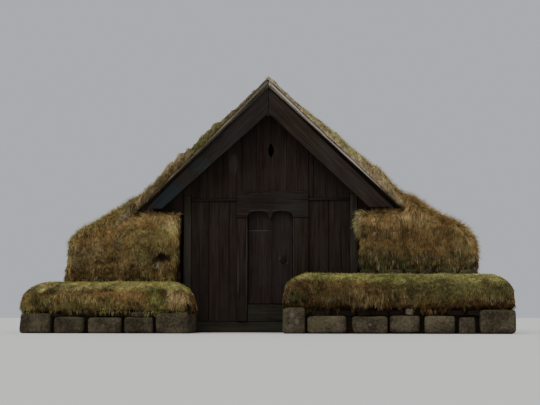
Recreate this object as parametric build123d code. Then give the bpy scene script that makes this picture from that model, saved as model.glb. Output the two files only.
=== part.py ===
from build123d import *
import math
import os

# Small turf house: a timber-gabled hall of three metres' frontage, set between two
# thick side walls of sods on stone footings, under a steep turf roof.
# Low yard walls of stone with a turf cap stand against the front of the side walls.
# Frame: +Z up, +X to the right as seen from the front, the front looks along -Y.
# Origin: bottom centre of the whole building. All lengths in millimetres.

# ---------------------------------------------------------------- driving sizes
HALF_FRONT = 1500.0        # half the timber front, to the outside of the corner posts
POST_IN = 1360.0           # inner side of the corner posts and wall plates
LENGTH = 5000.0            # from the face of the front planks to the face of the rear planks
OVERHANG = 350.0           # turf walls and verge in front of the planks, at both gables
YARD_DEPTH = 900.0         # thickness of the low walls in front
SLOPE = 0.979              # roof slope, rise over run (about 44.4 degrees)

VERGE_TOP, VERGE_LOW = 4300.0, 4140.0     # heights of the lines where they cross x = 0
VERGE_FRONT_LOW = 4222.0                  # the part of the verge that overhangs is thinner
BOARD_LOW = 4090.0
RAFTER_LOW = 3922.0
BARGE_TOP = 4165.0
BARGE_APEX_LOW = 3720.0
BARGE_LOW_SLOPE = {"left": 0.888, "right": 0.955}
VERGE_CUT = 2070.0
BARGE_CUT = 2100.0
WALL_TOP = 2030.0          # flat top of the turf walls under the eaves

PLANK_T = 50.0
SILL_TOP = 190.0
FLOOR_TOP = 230.0
PLATE_LOW = 2360.0

# doorway
DOOR_L, DOOR_R = -385.0, 395.0            # clear width between the jambs
JAMB_L, JAMB_R = -570.0, 665.0            # outer sides of the jambs
DOOR_SILL_TOP = 480.0
JAMB_TOP = 1960.0
HEADER_TOP = 2420.0
RAIL_LOW, RAIL_TOP = 2250.0, 2290.0

# side walls
WALL_IN = 1520.0
FOOT_H = {"left": 1050.0, "right": 1270.0}
FOOT_OUT = 3600.0          # outer foot of the stones, which lean in to SHOULDER
SHOULDER = 3460.0

# low yard walls in front
YARD_OUT = 4000.0
YARD_IN = {"left": -1200.0, "right": 310.0}
YARD_STONE_H = {"left": 350.0, "right": 400.0}
YARD_TOP = {"left": 840.0, "right": 965.0}

# the front plank face, placed so that the whole building is centred on y = 0
Y_MIN_D = OVERHANG + YARD_DEPTH           # furthest forward of the plank face
Y_MAX_D = LENGTH + OVERHANG               # furthest back
F = (Y_MIN_D - Y_MAX_D) / 2.0
R = F + LENGTH                            # face of the rear planks
BAY_Y = (F + 1280, F + 2500, F + 3720)    # middles of the inner frames

os.makedirs("parts", exist_ok=True)


def save(name, shape):
    export_step(shape, f"parts/{name}.step")


def prism_y(points, y0, y1):
    """Closed outline in x and z, carried from y0 to y1."""
    pts = [Vector(x, y0, z) for x, z in points]
    wire = Wire.make_polygon(pts, close=True)
    face = Face(wire)
    return Solid.extrude(face, Vector(0, y1 - y0, 0))


def prism_x(points, x0, x1):
    """Closed outline in y and z, carried from x0 to x1."""
    pts = [Vector(x0, y, z) for y, z in points]
    face = Face(Wire.make_polygon(pts, close=True))
    return Solid.extrude(face, Vector(x1 - x0, 0, 0))


def block(x0, x1, y0, y1, z0, z1):
    return Solid.make_box(x1 - x0, y1 - y0, z1 - z0, Plane((x0, y0, z0)))


def turned(points, side):
    """Outline drawn for the right-hand side, turned over for the left."""
    return points if side == "right" else [(-x, z) for x, z in points]


def line(z0, x):
    return z0 - SLOPE * x


SIDES = ("left", "right")

# ---------------------------------------------------------------- stone footings and turf walls
for side in SIDES:
    h = FOOT_H[side]
    s = 1 if side == "right" else -1
    foot = prism_y(turned([(WALL_IN, 0), (FOOT_OUT, 0), (SHOULDER, h), (WALL_IN, h)], side),
                   F - OVERHANG, R + OVERHANG)
    save(f"stone_footing_{side}", foot)
    wall = prism_y(
        turned([(WALL_IN, h), (SHOULDER, h), (3380, 1400), (3250, 1510), (3070, 1620), (2760, 1800),
                (2200, WALL_TOP), (WALL_IN, WALL_TOP)], side),
        F - OVERHANG, R + OVERHANG)
    save(f"turf_wall_{side}", wall)

# ---------------------------------------------------------------- roof turf
for side in SIDES:
    body = turned([(0, 4260), (0, VERGE_LOW), (2155, line(VERGE_LOW, 2155)), (2200, WALL_TOP), (2760, 1800),
                   (3070, 1620), (3250, 1510), (3380, 1400), (3430, 1400), (3390, 1530), (3275, 1680),
                   (3085, 1790), (2885, 1900), (2640, 2065), (2395, 2215), (2150, 2385), (1900, 2640),
                   (1400, 3085), (900, 3530), (400, 3975)], side)
    mid = prism_y(body, F - 150, R + 150)
    # beyond the foot of the verge the turf comes forward to the face of the wall
    end = turned([(2300, 1990), (2760, 1800),
                  (3070, 1620), (3250, 1510), (3380, 1400), (3430, 1400), (3390, 1530), (3275, 1680),
                  (3085, 1790), (2885, 1900), (2640, 2065), (2395, 2215), (2300, 2270)], side)
    front = prism_y(end, F - OVERHANG, F - 150)
    rear = prism_y(end, R + 150, R + OVERHANG)
    save(f"roof_turf_{side}", (mid + front + rear).clean())

# ---------------------------------------------------------------- low yard walls in front
for side in SIDES:
    x_in = YARD_IN[side]
    x0, x1 = (-YARD_OUT, x_in) if side == "left" else (x_in, YARD_OUT)
    y0, y1 = F - OVERHANG - YARD_DEPTH, F - OVERHANG
    hs, ht = YARD_STONE_H[side], YARD_TOP[side]
    stones = block(x0, x1, y0 + 30, y1, 0, hs)
    save(f"yard_wall_stones_{side}", stones)
    cap = prism_x([(y0 + 20, hs), (y0, hs + 60), (y0 + 40, ht - 190), (y0 + 170, ht - 60), (y0 + 330, ht),
                   (y1 - 200, ht), (y1, ht - 60), (y1, hs)], x0, x1)
    # both ends slope back from the stones to the crown
    for xe, d in ((x0, 1), (x1, -1)):
        wedge = prism_y([(xe, ht - 330), (xe + d * 60, ht - 170), (xe + d * 190, ht - 55), (xe + d * 340, ht + 1),
                         (xe + d * 340, ht + 200), (xe - d * 100, ht + 200), (xe - d * 100, ht - 330)],
                        y0 - 100, y1 + 100)
        cap = cap - wedge
    save(f"yard_wall_turf_{side}", cap)

# ---------------------------------------------------------------- ground sills, floor
save("gable_sills", Compound(children=[
    block(-HALF_FRONT, HALF_FRONT, F - 10, F + 120, 0, SILL_TOP),
    block(-HALF_FRONT, HALF_FRONT, R - 120, R + 10, 0, SILL_TOP)]))
save("side_sills", Compound(children=[
    block(-HALF_FRONT, -1300, F + 120, R - 120, 0, SILL_TOP),
    block(1300, HALF_FRONT, F + 120, R - 120, 0, SILL_TOP)]))
save("floor_joists", Compound(children=[block(-1300, 1300, y - 60, y + 60, 0, SILL_TOP)
                                        for y in BAY_Y]))
save("floor_boards", block(-1340, 1340, F + 110, R - 110, SILL_TOP, FLOOR_TOP))

# ---------------------------------------------------------------- timber side walls
save("corner_posts", Compound(children=[
    block(a, b, c, d, SILL_TOP, PLATE_LOW)
    for a, b in ((-HALF_FRONT, -POST_IN), (POST_IN, HALF_FRONT))
    for c, d in ((F - 20, F + 120), (R - 120, R + 20))]))
save("side_planks", Compound(children=[
    block(a, b, F + 120, R - 120, SILL_TOP, PLATE_LOW) for a, b in ((-1450, -1400), (1400, 1450))]))
save("side_posts", Compound(children=[
    block(a, b, y - 60, y + 60, FLOOR_TOP, PLATE_LOW) for a, b in ((-1400, -1280), (1280, 1400)) for y in BAY_Y]))
save("wall_plates", Compound(children=[prism_y(
    turned([(POST_IN, PLATE_LOW), (HALF_FRONT, PLATE_LOW), (HALF_FRONT, line(RAFTER_LOW, HALF_FRONT)),
            (POST_IN, line(RAFTER_LOW, POST_IN))], side), F, R) for side in SIDES]))

# ---------------------------------------------------------------- ridge beam, ties, rafters, roof boards
RIDGE_HALF, RIDGE_LOW = 70.0, 3720.0
ridge_outline = [(0, RAFTER_LOW), (RIDGE_HALF, line(RAFTER_LOW, RIDGE_HALF)), (RIDGE_HALF, RIDGE_LOW),
                 (-RIDGE_HALF, RIDGE_LOW), (-RIDGE_HALF, line(RAFTER_LOW, RIDGE_HALF))]
save("ridge_beam", prism_y(ridge_outline, F - 250, R + 250))
save("tie_beams", Compound(children=[block(-POST_IN, POST_IN, y - 55, y + 55, 2370, 2500)
                                     for y in BAY_Y]))
RAFTER_Y = (F + 100, F + 1280, F + 2500, F + 3720, R - 100)
for side in SIDES:
    outline = turned([(0, BOARD_LOW), (0, RAFTER_LOW), ((RAFTER_LOW - WALL_TOP) / SLOPE, WALL_TOP),
                      ((BOARD_LOW - WALL_TOP) / SLOPE, WALL_TOP)], side)
    save(f"rafters_{side}", Compound(children=[prism_y(outline, y - 50, y + 50) for y in RAFTER_Y]))
    boards = turned([(0, VERGE_LOW), (0, BOARD_LOW), ((BOARD_LOW - WALL_TOP) / SLOPE, WALL_TOP),
                     ((VERGE_LOW - WALL_TOP) / SLOPE, WALL_TOP)], side)
    save(f"roof_boards_{side}", prism_y(boards, F - 240, R + 240))

# ---------------------------------------------------------------- barge boards and verge timbers
for side in SIDES:
    barge = turned([(0, BARGE_TOP), (0, BARGE_APEX_LOW),
                    ((BARGE_APEX_LOW - BARGE_CUT) / BARGE_LOW_SLOPE[side], BARGE_CUT),
                    ((BARGE_TOP - BARGE_CUT) / SLOPE, BARGE_CUT)], side)
    save(f"barge_boards_{side}", Compound(children=[
        prism_y(barge, F - 300, F - 250), prism_y(barge, R + 250, R + 300)]))
    thick = turned([(0, VERGE_TOP), (0, VERGE_LOW), ((VERGE_LOW - VERGE_CUT) / SLOPE, VERGE_CUT),
                    ((VERGE_TOP - VERGE_CUT) / SLOPE, VERGE_CUT)], side)
    thin = turned([(0, VERGE_TOP), (0, VERGE_FRONT_LOW), ((VERGE_FRONT_LOW - VERGE_CUT) / SLOPE, VERGE_CUT),
                   ((VERGE_TOP - VERGE_CUT) / SLOPE, VERGE_CUT)], side)
    save(f"verge_timbers_{side}", Compound(children=[
        (prism_y(thick, F - 240, F - 150) + prism_y(thin, F - OVERHANG, F - 240)).clean(),
        (prism_y(thick, R + 150, R + 240) + prism_y(thin, R + 240, R + OVERHANG)).clean()]))

# ---------------------------------------------------------------- gable fronts
ridge_cut = prism_y(ridge_outline, F - 500, R + 500)
gable = [(-POST_IN, RAIL_TOP), (POST_IN, RAIL_TOP), (POST_IN, line(BOARD_LOW, POST_IN)), (0, BOARD_LOW),
         (-POST_IN, line(BOARD_LOW, POST_IN))]
front_gable = prism_y(gable, F, F + PLANK_T) - ridge_cut
front_gable = front_gable - block(JAMB_L, JAMB_R, F - 100, F + 100, RAIL_LOW - 50, HEADER_TOP)
# small pointed peep hole high in the gable
peep = prism_y([(0, 2995), (34, 3050), (50, 3120), (34, 3185), (0, 3250), (-34, 3185), (-50, 3120), (-34, 3050)],
               F - 50, F + 100)
front_gable = front_gable - peep.moved(Location((15, 0, 0)))
# short planks close the eaves between the corner posts and the roof boards, over the turf walls
eaves = [(HALF_FRONT, WALL_TOP), (HALF_FRONT, line(BOARD_LOW, HALF_FRONT)), ((BOARD_LOW - WALL_TOP) / SLOPE, WALL_TOP)]


def eaves_planks(y0, y1):
    return [prism_y(turned(eaves, side), y0, y1) for side in SIDES]


save("front_gable_planks", Compound(children=[front_gable] + eaves_planks(F, F + PLANK_T)))
save("front_planks_left", block(-POST_IN, JAMB_L, F, F + PLANK_T, SILL_TOP, RAIL_LOW))
save("front_planks_right", block(JAMB_R, POST_IN, F, F + PLANK_T, SILL_TOP, RAIL_LOW))
save("front_rails", Compound(children=[
    block(-POST_IN, JAMB_L, F - 25, F + PLANK_T, RAIL_LOW, RAIL_TOP),
    block(JAMB_R, POST_IN, F - 25, F + PLANK_T, RAIL_LOW, RAIL_TOP)]))
save("rear_gable_planks", Compound(children=[prism_y(gable, R - PLANK_T, R) - ridge_cut]
                                   + eaves_planks(R - PLANK_T, R)))
save("rear_planks", block(-POST_IN, POST_IN, R - PLANK_T, R, SILL_TOP, RAIL_LOW))
save("rear_rail", block(-POST_IN, POST_IN, R - PLANK_T, R + 25, RAIL_LOW, RAIL_TOP))

# ---------------------------------------------------------------- door frame
save("door_jambs", Compound(children=[
    block(JAMB_L, DOOR_L, F - 40, F + 90, SILL_TOP, JAMB_TOP),
    block(DOOR_R, JAMB_R, F - 40, F + 90, SILL_TOP, JAMB_TOP)]))
save("door_sill", block(DOOR_L, DOOR_R, F - 20, F + 90, SILL_TOP, DOOR_SILL_TOP))

# header with two round lobes and a pointed drop between them
cx, spring = (DOOR_L + DOOR_R) / 2.0, JAMB_TOP
lobe_w = (DOOR_R - DOOR_L) / 2.0
lobes = []
for k in (-1, 1):
    mid = cx + k * lobe_w / 2.0
    pts = []
    for i in range(13):
        a = math.pi * i / 12.0
        pts.append((mid + lobe_w / 2.0 * math.cos(a), spring + 112.0 * math.sin(a) ** 0.8))
    lobes.append(prism_y([(mid + lobe_w / 2.0, spring - 60)] + pts + [(mid - lobe_w / 2.0, spring - 60)],
                         F - 100, F + 100))
header = block(JAMB_L, JAMB_R, F - 50, F + 20, JAMB_TOP, HEADER_TOP)
for lobe in lobes:
    header = header - lobe
drop = prism_y([(cx - 46, spring + 46), (cx, spring - 34), (cx + 46, spring + 46), (cx, spring + 130)],
               F - 50, F + 20)
save("door_header", (header + drop).clean())
# head of the frame behind the header, just above the leaf
LEAF_TOP = 2110.0
save("door_lintel", block(JAMB_L, JAMB_R, F + 20, F + 90, JAMB_TOP, HEADER_TOP)
     - block(DOOR_L, DOOR_R, F, F + 120, JAMB_TOP - 50, LEAF_TOP + 10))

# ---------------------------------------------------------------- door leaf, which opens inwards on the left
LX0, LX1 = DOOR_L + 8, DOOR_R - 8
LZ0 = DOOR_SILL_TOP + 8
save("door_leaf", block(LX0, LX1, F + 45, F + 85, LZ0, LEAF_TOP))
save("door_face_planks", Compound(children=[
    block(LX0, 28, F + 30, F + 45, LZ0, 1745),
    block(34, LX1, F + 30, F + 45, LZ0, LEAF_TOP)]))

HX, HY = DOOR_L + 14, F + 105             # hinge axis
HINGE_Z = (760.0, 1800.0)
PIN_R, BORE_R, EYE_R, EYE_H = 8.0, 8.06, 15.0, 60.0
# two inside ledges, each under its strap hinge
ledge_x0 = HX + 40
save("door_ledges", Compound(children=[block(ledge_x0, LX1 - 30, F + 85, F + 110, z - 70, z - 25) for z in HINGE_Z]))
straps = []
for z in HINGE_Z:
    eye = Solid.make_cylinder(EYE_R, EYE_H, Plane((HX, HY, z - EYE_H / 2)))
    strap = block(HX + 4, LX1 - 160, F + 85, F + 92, z - 22, z + 22)
    web = block(HX + 4, HX + 16, F + 85, F + 112, z - 22, z + 22)
    bore = Solid.make_cylinder(BORE_R, EYE_H + 20, Plane((HX, HY, z - EYE_H / 2 - 10)))
    straps.append((eye + strap + web - bore).clean())
save("hinge_straps", Compound(children=straps))
pins = []
for z in HINGE_Z:
    pin = Solid.make_cylinder(PIN_R, EYE_H + 24, Plane((HX, HY, z - EYE_H / 2 - 14)))
    arm = block(HX - 60, HX + 9, HY - 9, HY + 9, z - EYE_H / 2 - 22, z - EYE_H / 2 - 2)
    plate = block(HX - 66, HX - 44, F + 90, HY + 9, z - 80, z + 20)
    pins.append((pin + arm + plate).clean())
save("hinge_pins", Compound(children=pins))

# iron ring handle on a round plate
RX, RZ = 225.0, 1250.0
plate = Solid.make_cylinder(42, 5, Plane((RX, F + 30, RZ), z_dir=(0, -1, 0)))
staple = block(RX - 8, RX + 8, F + 5, F + 26, RZ + 8, RZ + 26)
ring = Solid.make_torus(34, 5, Plane((RX, F + 15, RZ - 18), z_dir=(0, 1, 0)))
save("door_ring", (plate + staple + ring).clean())
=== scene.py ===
import math

import bpy
import bmesh
import numpy as np
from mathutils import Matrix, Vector


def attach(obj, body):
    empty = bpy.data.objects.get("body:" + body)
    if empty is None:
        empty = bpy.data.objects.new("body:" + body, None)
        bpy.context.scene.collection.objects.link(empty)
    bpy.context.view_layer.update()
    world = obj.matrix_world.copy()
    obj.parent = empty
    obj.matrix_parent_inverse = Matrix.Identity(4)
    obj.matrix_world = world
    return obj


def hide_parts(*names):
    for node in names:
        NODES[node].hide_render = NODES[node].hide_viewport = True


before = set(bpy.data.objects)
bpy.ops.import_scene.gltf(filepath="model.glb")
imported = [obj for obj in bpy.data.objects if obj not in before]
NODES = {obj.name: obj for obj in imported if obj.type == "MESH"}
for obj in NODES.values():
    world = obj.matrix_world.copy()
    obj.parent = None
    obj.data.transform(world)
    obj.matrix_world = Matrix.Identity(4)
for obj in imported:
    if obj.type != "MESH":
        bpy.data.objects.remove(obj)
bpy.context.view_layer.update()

# Main planes of the house in metres: F is the face of the front planks, R of the rear ones.
F, R = -2.05, 2.95
SLOPE = 0.979
HALF, POST_IN = 1.50, 1.36


# ------------------------------------------------------------------ noise
def _hash(ix, iy, iz, seed):
    h = (ix.astype(np.uint32) * np.uint32(374761393) + iy.astype(np.uint32) * np.uint32(668265263)
         + iz.astype(np.uint32) * np.uint32(2246822519) + np.uint32((seed * 1274126177) & 0xFFFFFFFF))
    h = (h ^ (h >> np.uint32(13))) * np.uint32(1274126177)
    h = (h ^ (h >> np.uint32(15))) * np.uint32(2654435761)
    return ((h ^ (h >> np.uint32(16))) & np.uint32(0xFFFFFF)).astype(np.float64) / 0xFFFFFF


def vnoise(p, seed=0):
    """Smooth value noise from -1 to 1 at points p (n, 3)."""
    i = np.floor(p).astype(np.int64)
    f = p - i
    u = f * f * f * (f * (f * 6 - 15) + 10)
    out = 0
    for dx in (0, 1):
        wx = u[:, 0] if dx else 1 - u[:, 0]
        for dy in (0, 1):
            wy = u[:, 1] if dy else 1 - u[:, 1]
            for dz in (0, 1):
                wz = u[:, 2] if dz else 1 - u[:, 2]
                out = out + wx * wy * wz * _hash(i[:, 0] + dx, i[:, 1] + dy, i[:, 2] + dz, seed)
    return out * 2 - 1


def fbm(p, size, octaves=3, seed=0):
    """Noise whose largest lumps are about size metres across."""
    total, amp, norm, q = 0, 1.0, 0, p / size
    for k in range(octaves):
        total = total + amp * vnoise(q * 2 ** k + 17.3 * k, seed + 31 * k)
        norm += amp
        amp *= 0.5
    return total / norm


def step(a, b, x):
    t = np.clip((x - a) / (b - a), 0, 1)
    return t * t * (3 - 2 * t)


def unit(v):
    return v / np.maximum(np.linalg.norm(v, axis=1, keepdims=True), 1e-9)


# ------------------------------------------------------------------ meshes
def mesh_from(name, verts, loops, totals, tone=None, uv=None, smooth=False, sharp=None):
    me = bpy.data.meshes.new(name)
    verts = np.asarray(verts, np.float32)
    loops = np.asarray(loops, np.int32)
    totals = np.asarray(totals, np.int32)
    me.vertices.add(len(verts))
    me.vertices.foreach_set("co", verts.ravel())
    me.loops.add(len(loops))
    me.loops.foreach_set("vertex_index", loops)
    me.polygons.add(len(totals))
    starts = np.concatenate([[0], np.cumsum(totals)[:-1]]).astype(np.int32)
    me.polygons.foreach_set("loop_start", starts)
    if uv is not None:
        layer = me.uv_layers.new(name="OFBake")
        layer.data.foreach_set("uv", np.asarray(uv, np.float32).ravel())
    if tone is not None:
        attr = me.attributes.new("tone", "FLOAT", "POINT")
        attr.data.foreach_set("value", np.asarray(tone, np.float32))
    me.update(calc_edges=True)
    me.validate()
    if smooth:
        me.polygons.foreach_set("use_smooth", np.ones(len(me.polygons), bool))
        if sharp is not None:
            me.set_sharp_from_angle(angle=math.radians(sharp))
    return me


def put(name, me, mat, body="house", replaces=()):
    ob = bpy.data.objects.new(name, me)
    bpy.context.scene.collection.objects.link(ob)
    me.materials.clear()
    me.materials.append(mat)
    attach(ob, body)
    if replaces:
        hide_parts(*([replaces] if isinstance(replaces, str) else replaces))
    return ob


class Gather:
    """Collects many small closed meshes, each with its own tone, into one."""

    def __init__(self):
        self.v, self.l, self.t, self.tone, self.n = [], [], [], [], 0

    def add(self, verts, loops, totals, tone):
        self.v.append(np.asarray(verts, float))
        self.l.append(np.asarray(loops, np.int64) + self.n)
        self.t.append(np.asarray(totals, np.int64))
        self.tone.append(np.full(len(verts), tone, float))
        self.n += len(verts)

    def add_bm(self, bm, tone):
        bm.verts.index_update()
        verts = [v.co[:] for v in bm.verts]
        loops = [v.index for f in bm.faces for v in f.verts]
        totals = [len(f.verts) for f in bm.faces]
        self.add(verts, loops, totals, tone)

    def mesh(self, name, smooth=True, sharp=35):
        return mesh_from(name, np.concatenate(self.v), np.concatenate(self.l), np.concatenate(self.t),
                         tone=np.concatenate(self.tone), smooth=smooth, sharp=sharp)


def bm_arrays(me):
    v = np.zeros(len(me.vertices) * 3)
    me.vertices.foreach_get("co", v)
    me.calc_loop_triangles()
    t = np.zeros(len(me.loop_triangles) * 3, np.int32)
    me.loop_triangles.foreach_get("vertices", t)
    n = np.zeros(len(me.vertices) * 3)
    me.vertices.foreach_get("normal", n)
    return v.reshape(-1, 3), t.reshape(-1, 3), n.reshape(-1, 3)


def slab_cuts(bm, direction, spacing):
    """Cuts every closed piece in bm across direction, so that it can be bent by noise."""
    d = Vector(direction).normalized()
    along = [v.co.dot(d) for v in bm.verts]
    lo, hi = min(along), max(along)
    count = int((hi - lo) / spacing)
    for k in range(1, count + 1):
        at = lo + (hi - lo) * k / (count + 1)
        bmesh.ops.bisect_plane(bm, geom=bm.verts[:] + bm.edges[:] + bm.faces[:], dist=1e-5,
                               plane_co=d * at, plane_no=d)


def hewn(name, node, direction, mat, bevel=0.012, spacing=0.22, amp=0.005, size=0.5, seed=0, body="house",
         fine=0.0015, keep_y=False, segments=2):
    """A copy of a CAD node with worn edges and slightly uneven faces."""
    src = NODES[node].data
    bm = bmesh.new()
    bm.from_mesh(src)
    bmesh.ops.remove_doubles(bm, verts=bm.verts, dist=2e-5)
    bmesh.ops.dissolve_limit(bm, angle_limit=math.radians(1.0), verts=bm.verts, edges=bm.edges)
    edges = [e for e in bm.edges if len(e.link_faces) == 2 and e.calc_face_angle(0) > math.radians(20)]
    bmesh.ops.bevel(bm, geom=edges, offset=bevel, segments=segments, profile=0.6, affect="EDGES", clamp_overlap=True)
    slab_cuts(bm, direction, spacing)
    bm.normal_update()
    co = np.array([v.co[:] for v in bm.verts])
    no = np.array([v.normal[:] for v in bm.verts])
    push = amp * fbm(co + 50, size, 2, seed + 5) - amp * 0.6 + fine * vnoise(co * 18, seed + 9)
    co = co + no * push[:, None]
    for v, c in zip(bm.verts, co):
        v.co = c
    # each separate timber gets a tone of its own
    tone = np.zeros(len(co))
    left = set(bm.verts)
    k = 0
    while left:
        stack, group = [left.pop()], []
        while stack:
            v = stack.pop()
            group.append(v)
            for e in v.link_edges:
                w = e.other_vert(v)
                if w in left:
                    left.remove(w)
                    stack.append(w)
        k += 1
        value = float(_hash(np.array([k * 7 + seed]), np.array([seed]), np.array([3]), 11)[0])
        bm.verts.index_update()
        for v in group:
            tone[v.index] = value
    loops = [v.index for f in bm.faces for v in f.verts]
    totals = [len(f.verts) for f in bm.faces]
    me = mesh_from(name, co, loops, totals, tone=tone, smooth=True, sharp=32)
    bm.free()
    return put(name, me, mat, body, node)


# ------------------------------------------------------------------ materials
def new_mat(name):
    mat = bpy.data.materials.new(name)
    mat.use_nodes = True
    nt = mat.node_tree
    nt.nodes.clear()
    out = nt.nodes.new("ShaderNodeOutputMaterial")
    bsdf = nt.nodes.new("ShaderNodeBsdfPrincipled")
    nt.links.new(bsdf.outputs[0], out.inputs[0])
    return mat, nt, bsdf


class N:
    """Short hand for building node trees."""

    def __init__(self, nt):
        self.nt = nt

    def _set(self, socket, value):
        if isinstance(value, bpy.types.NodeSocket):
            self.nt.links.new(value, socket)
        elif value is not None:
            socket.default_value = value

    def coord(self):
        return self.nt.nodes.new("ShaderNodeTexCoord").outputs["Object"]

    def attr(self, name):
        n = self.nt.nodes.new("ShaderNodeAttribute")
        n.attribute_type = "GEOMETRY"
        n.attribute_name = name
        return n.outputs["Fac"]

    def attr_col(self, name):
        n = self.nt.nodes.new("ShaderNodeAttribute")
        n.attribute_type = "GEOMETRY"
        n.attribute_name = name
        return n.outputs["Color"]

    def math(self, op, a, b=None, c=None, clamp=False):
        n = self.nt.nodes.new("ShaderNodeMath")
        n.operation = op
        n.use_clamp = clamp
        for s, v in zip(n.inputs, (a, b, c)):
            self._set(s, v)
        return n.outputs[0]

    def vec(self, op, a, b=None, scale=None):
        n = self.nt.nodes.new("ShaderNodeVectorMath")
        n.operation = op
        self._set(n.inputs[0], a)
        self._set(n.inputs[1], b)
        if scale is not None:
            self._set(n.inputs["Scale"], scale)
        return n.outputs["Value"] if op in ("DOT_PRODUCT", "LENGTH") else n.outputs["Vector"]

    def xyz(self, x, y, z):
        n = self.nt.nodes.new("ShaderNodeCombineXYZ")
        for s, v in zip(n.inputs, (x, y, z)):
            self._set(s, v)
        return n.outputs[0]

    def split(self, v):
        n = self.nt.nodes.new("ShaderNodeSeparateXYZ")
        self._set(n.inputs[0], v)
        return n.outputs

    def noise(self, v, scale, detail=4, rough=0.55, lac=2.0, distort=0.0):
        n = self.nt.nodes.new("ShaderNodeTexNoise")
        n.noise_dimensions = "3D"
        self._set(n.inputs["Vector"], v)
        n.inputs["Scale"].default_value = scale
        n.inputs["Detail"].default_value = detail
        n.inputs["Roughness"].default_value = rough
        n.inputs["Lacunarity"].default_value = lac
        n.inputs["Distortion"].default_value = distort
        return n.outputs["Fac"]

    def voronoi(self, v, scale, feature="F1", rand=1.0):
        n = self.nt.nodes.new("ShaderNodeTexVoronoi")
        n.feature = feature
        self._set(n.inputs["Vector"], v)
        n.inputs["Scale"].default_value = scale
        n.inputs["Randomness"].default_value = rand
        return n.outputs["Distance"]

    def ramp(self, fac, stops, interp="LINEAR"):
        n = self.nt.nodes.new("ShaderNodeValToRGB")
        n.color_ramp.interpolation = interp
        el = n.color_ramp.elements
        while len(el) > 1:
            el.remove(el[-1])
        el[0].position = stops[0][0]
        el[0].color = (*stops[0][1], 1) if not isinstance(stops[0][1], float) else (stops[0][1],) * 3 + (1,)
        for pos, col in stops[1:]:
            e = el.new(pos)
            e.color = (*col, 1) if not isinstance(col, float) else (col,) * 3 + (1,)
        self._set(n.inputs[0], fac)
        return n.outputs[0]

    def mix(self, fac, a, b, mode="MIX"):
        n = self.nt.nodes.new("ShaderNodeMix")
        n.data_type = "RGBA"
        n.blend_type = mode
        self._set(n.inputs[0], fac)
        for s, v in ((n.inputs[6], a), (n.inputs[7], b)):
            if isinstance(v, tuple) and len(v) == 3:
                v = (*v, 1)
            self._set(s, v)
        return n.outputs[2]

    def mapr(self, v, a, b, c=0.0, d=1.0, smooth=False):
        n = self.nt.nodes.new("ShaderNodeMapRange")
        if smooth:
            n.interpolation_type = "SMOOTHSTEP"
        self._set(n.inputs[0], v)
        for s, x in zip(list(n.inputs)[1:5], (a, b, c, d)):
            self._set(s, x)
        return n.outputs[0]

    def bump(self, height, strength, distance):
        n = self.nt.nodes.new("ShaderNodeBump")
        n.inputs["Strength"].default_value = strength
        n.inputs["Distance"].default_value = distance
        self._set(n.inputs["Height"], height)
        return n.outputs[0]

    def normal_z(self):
        n = self.nt.nodes.new("ShaderNodeNewGeometry")
        return self.split(n.outputs["Normal"])[2]


def spotted(n, col, spots, rough_noise):
    """Lays soft-edged patches on col. Each spot is (centre, radii, colour, strength)."""
    for centre, radii, colour, strength in spots:
        d = n.vec("LENGTH", n.vec("DIVIDE", n.vec("SUBTRACT", n.coord(), centre), radii))
        d = n.math("ADD", d, n.math("MULTIPLY", n.math("SUBTRACT", rough_noise, 0.5), 1.3))
        col = n.mix(n.mapr(d, 0.45, 1.05, strength, 0.0, True), col, colour)
    return col


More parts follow.
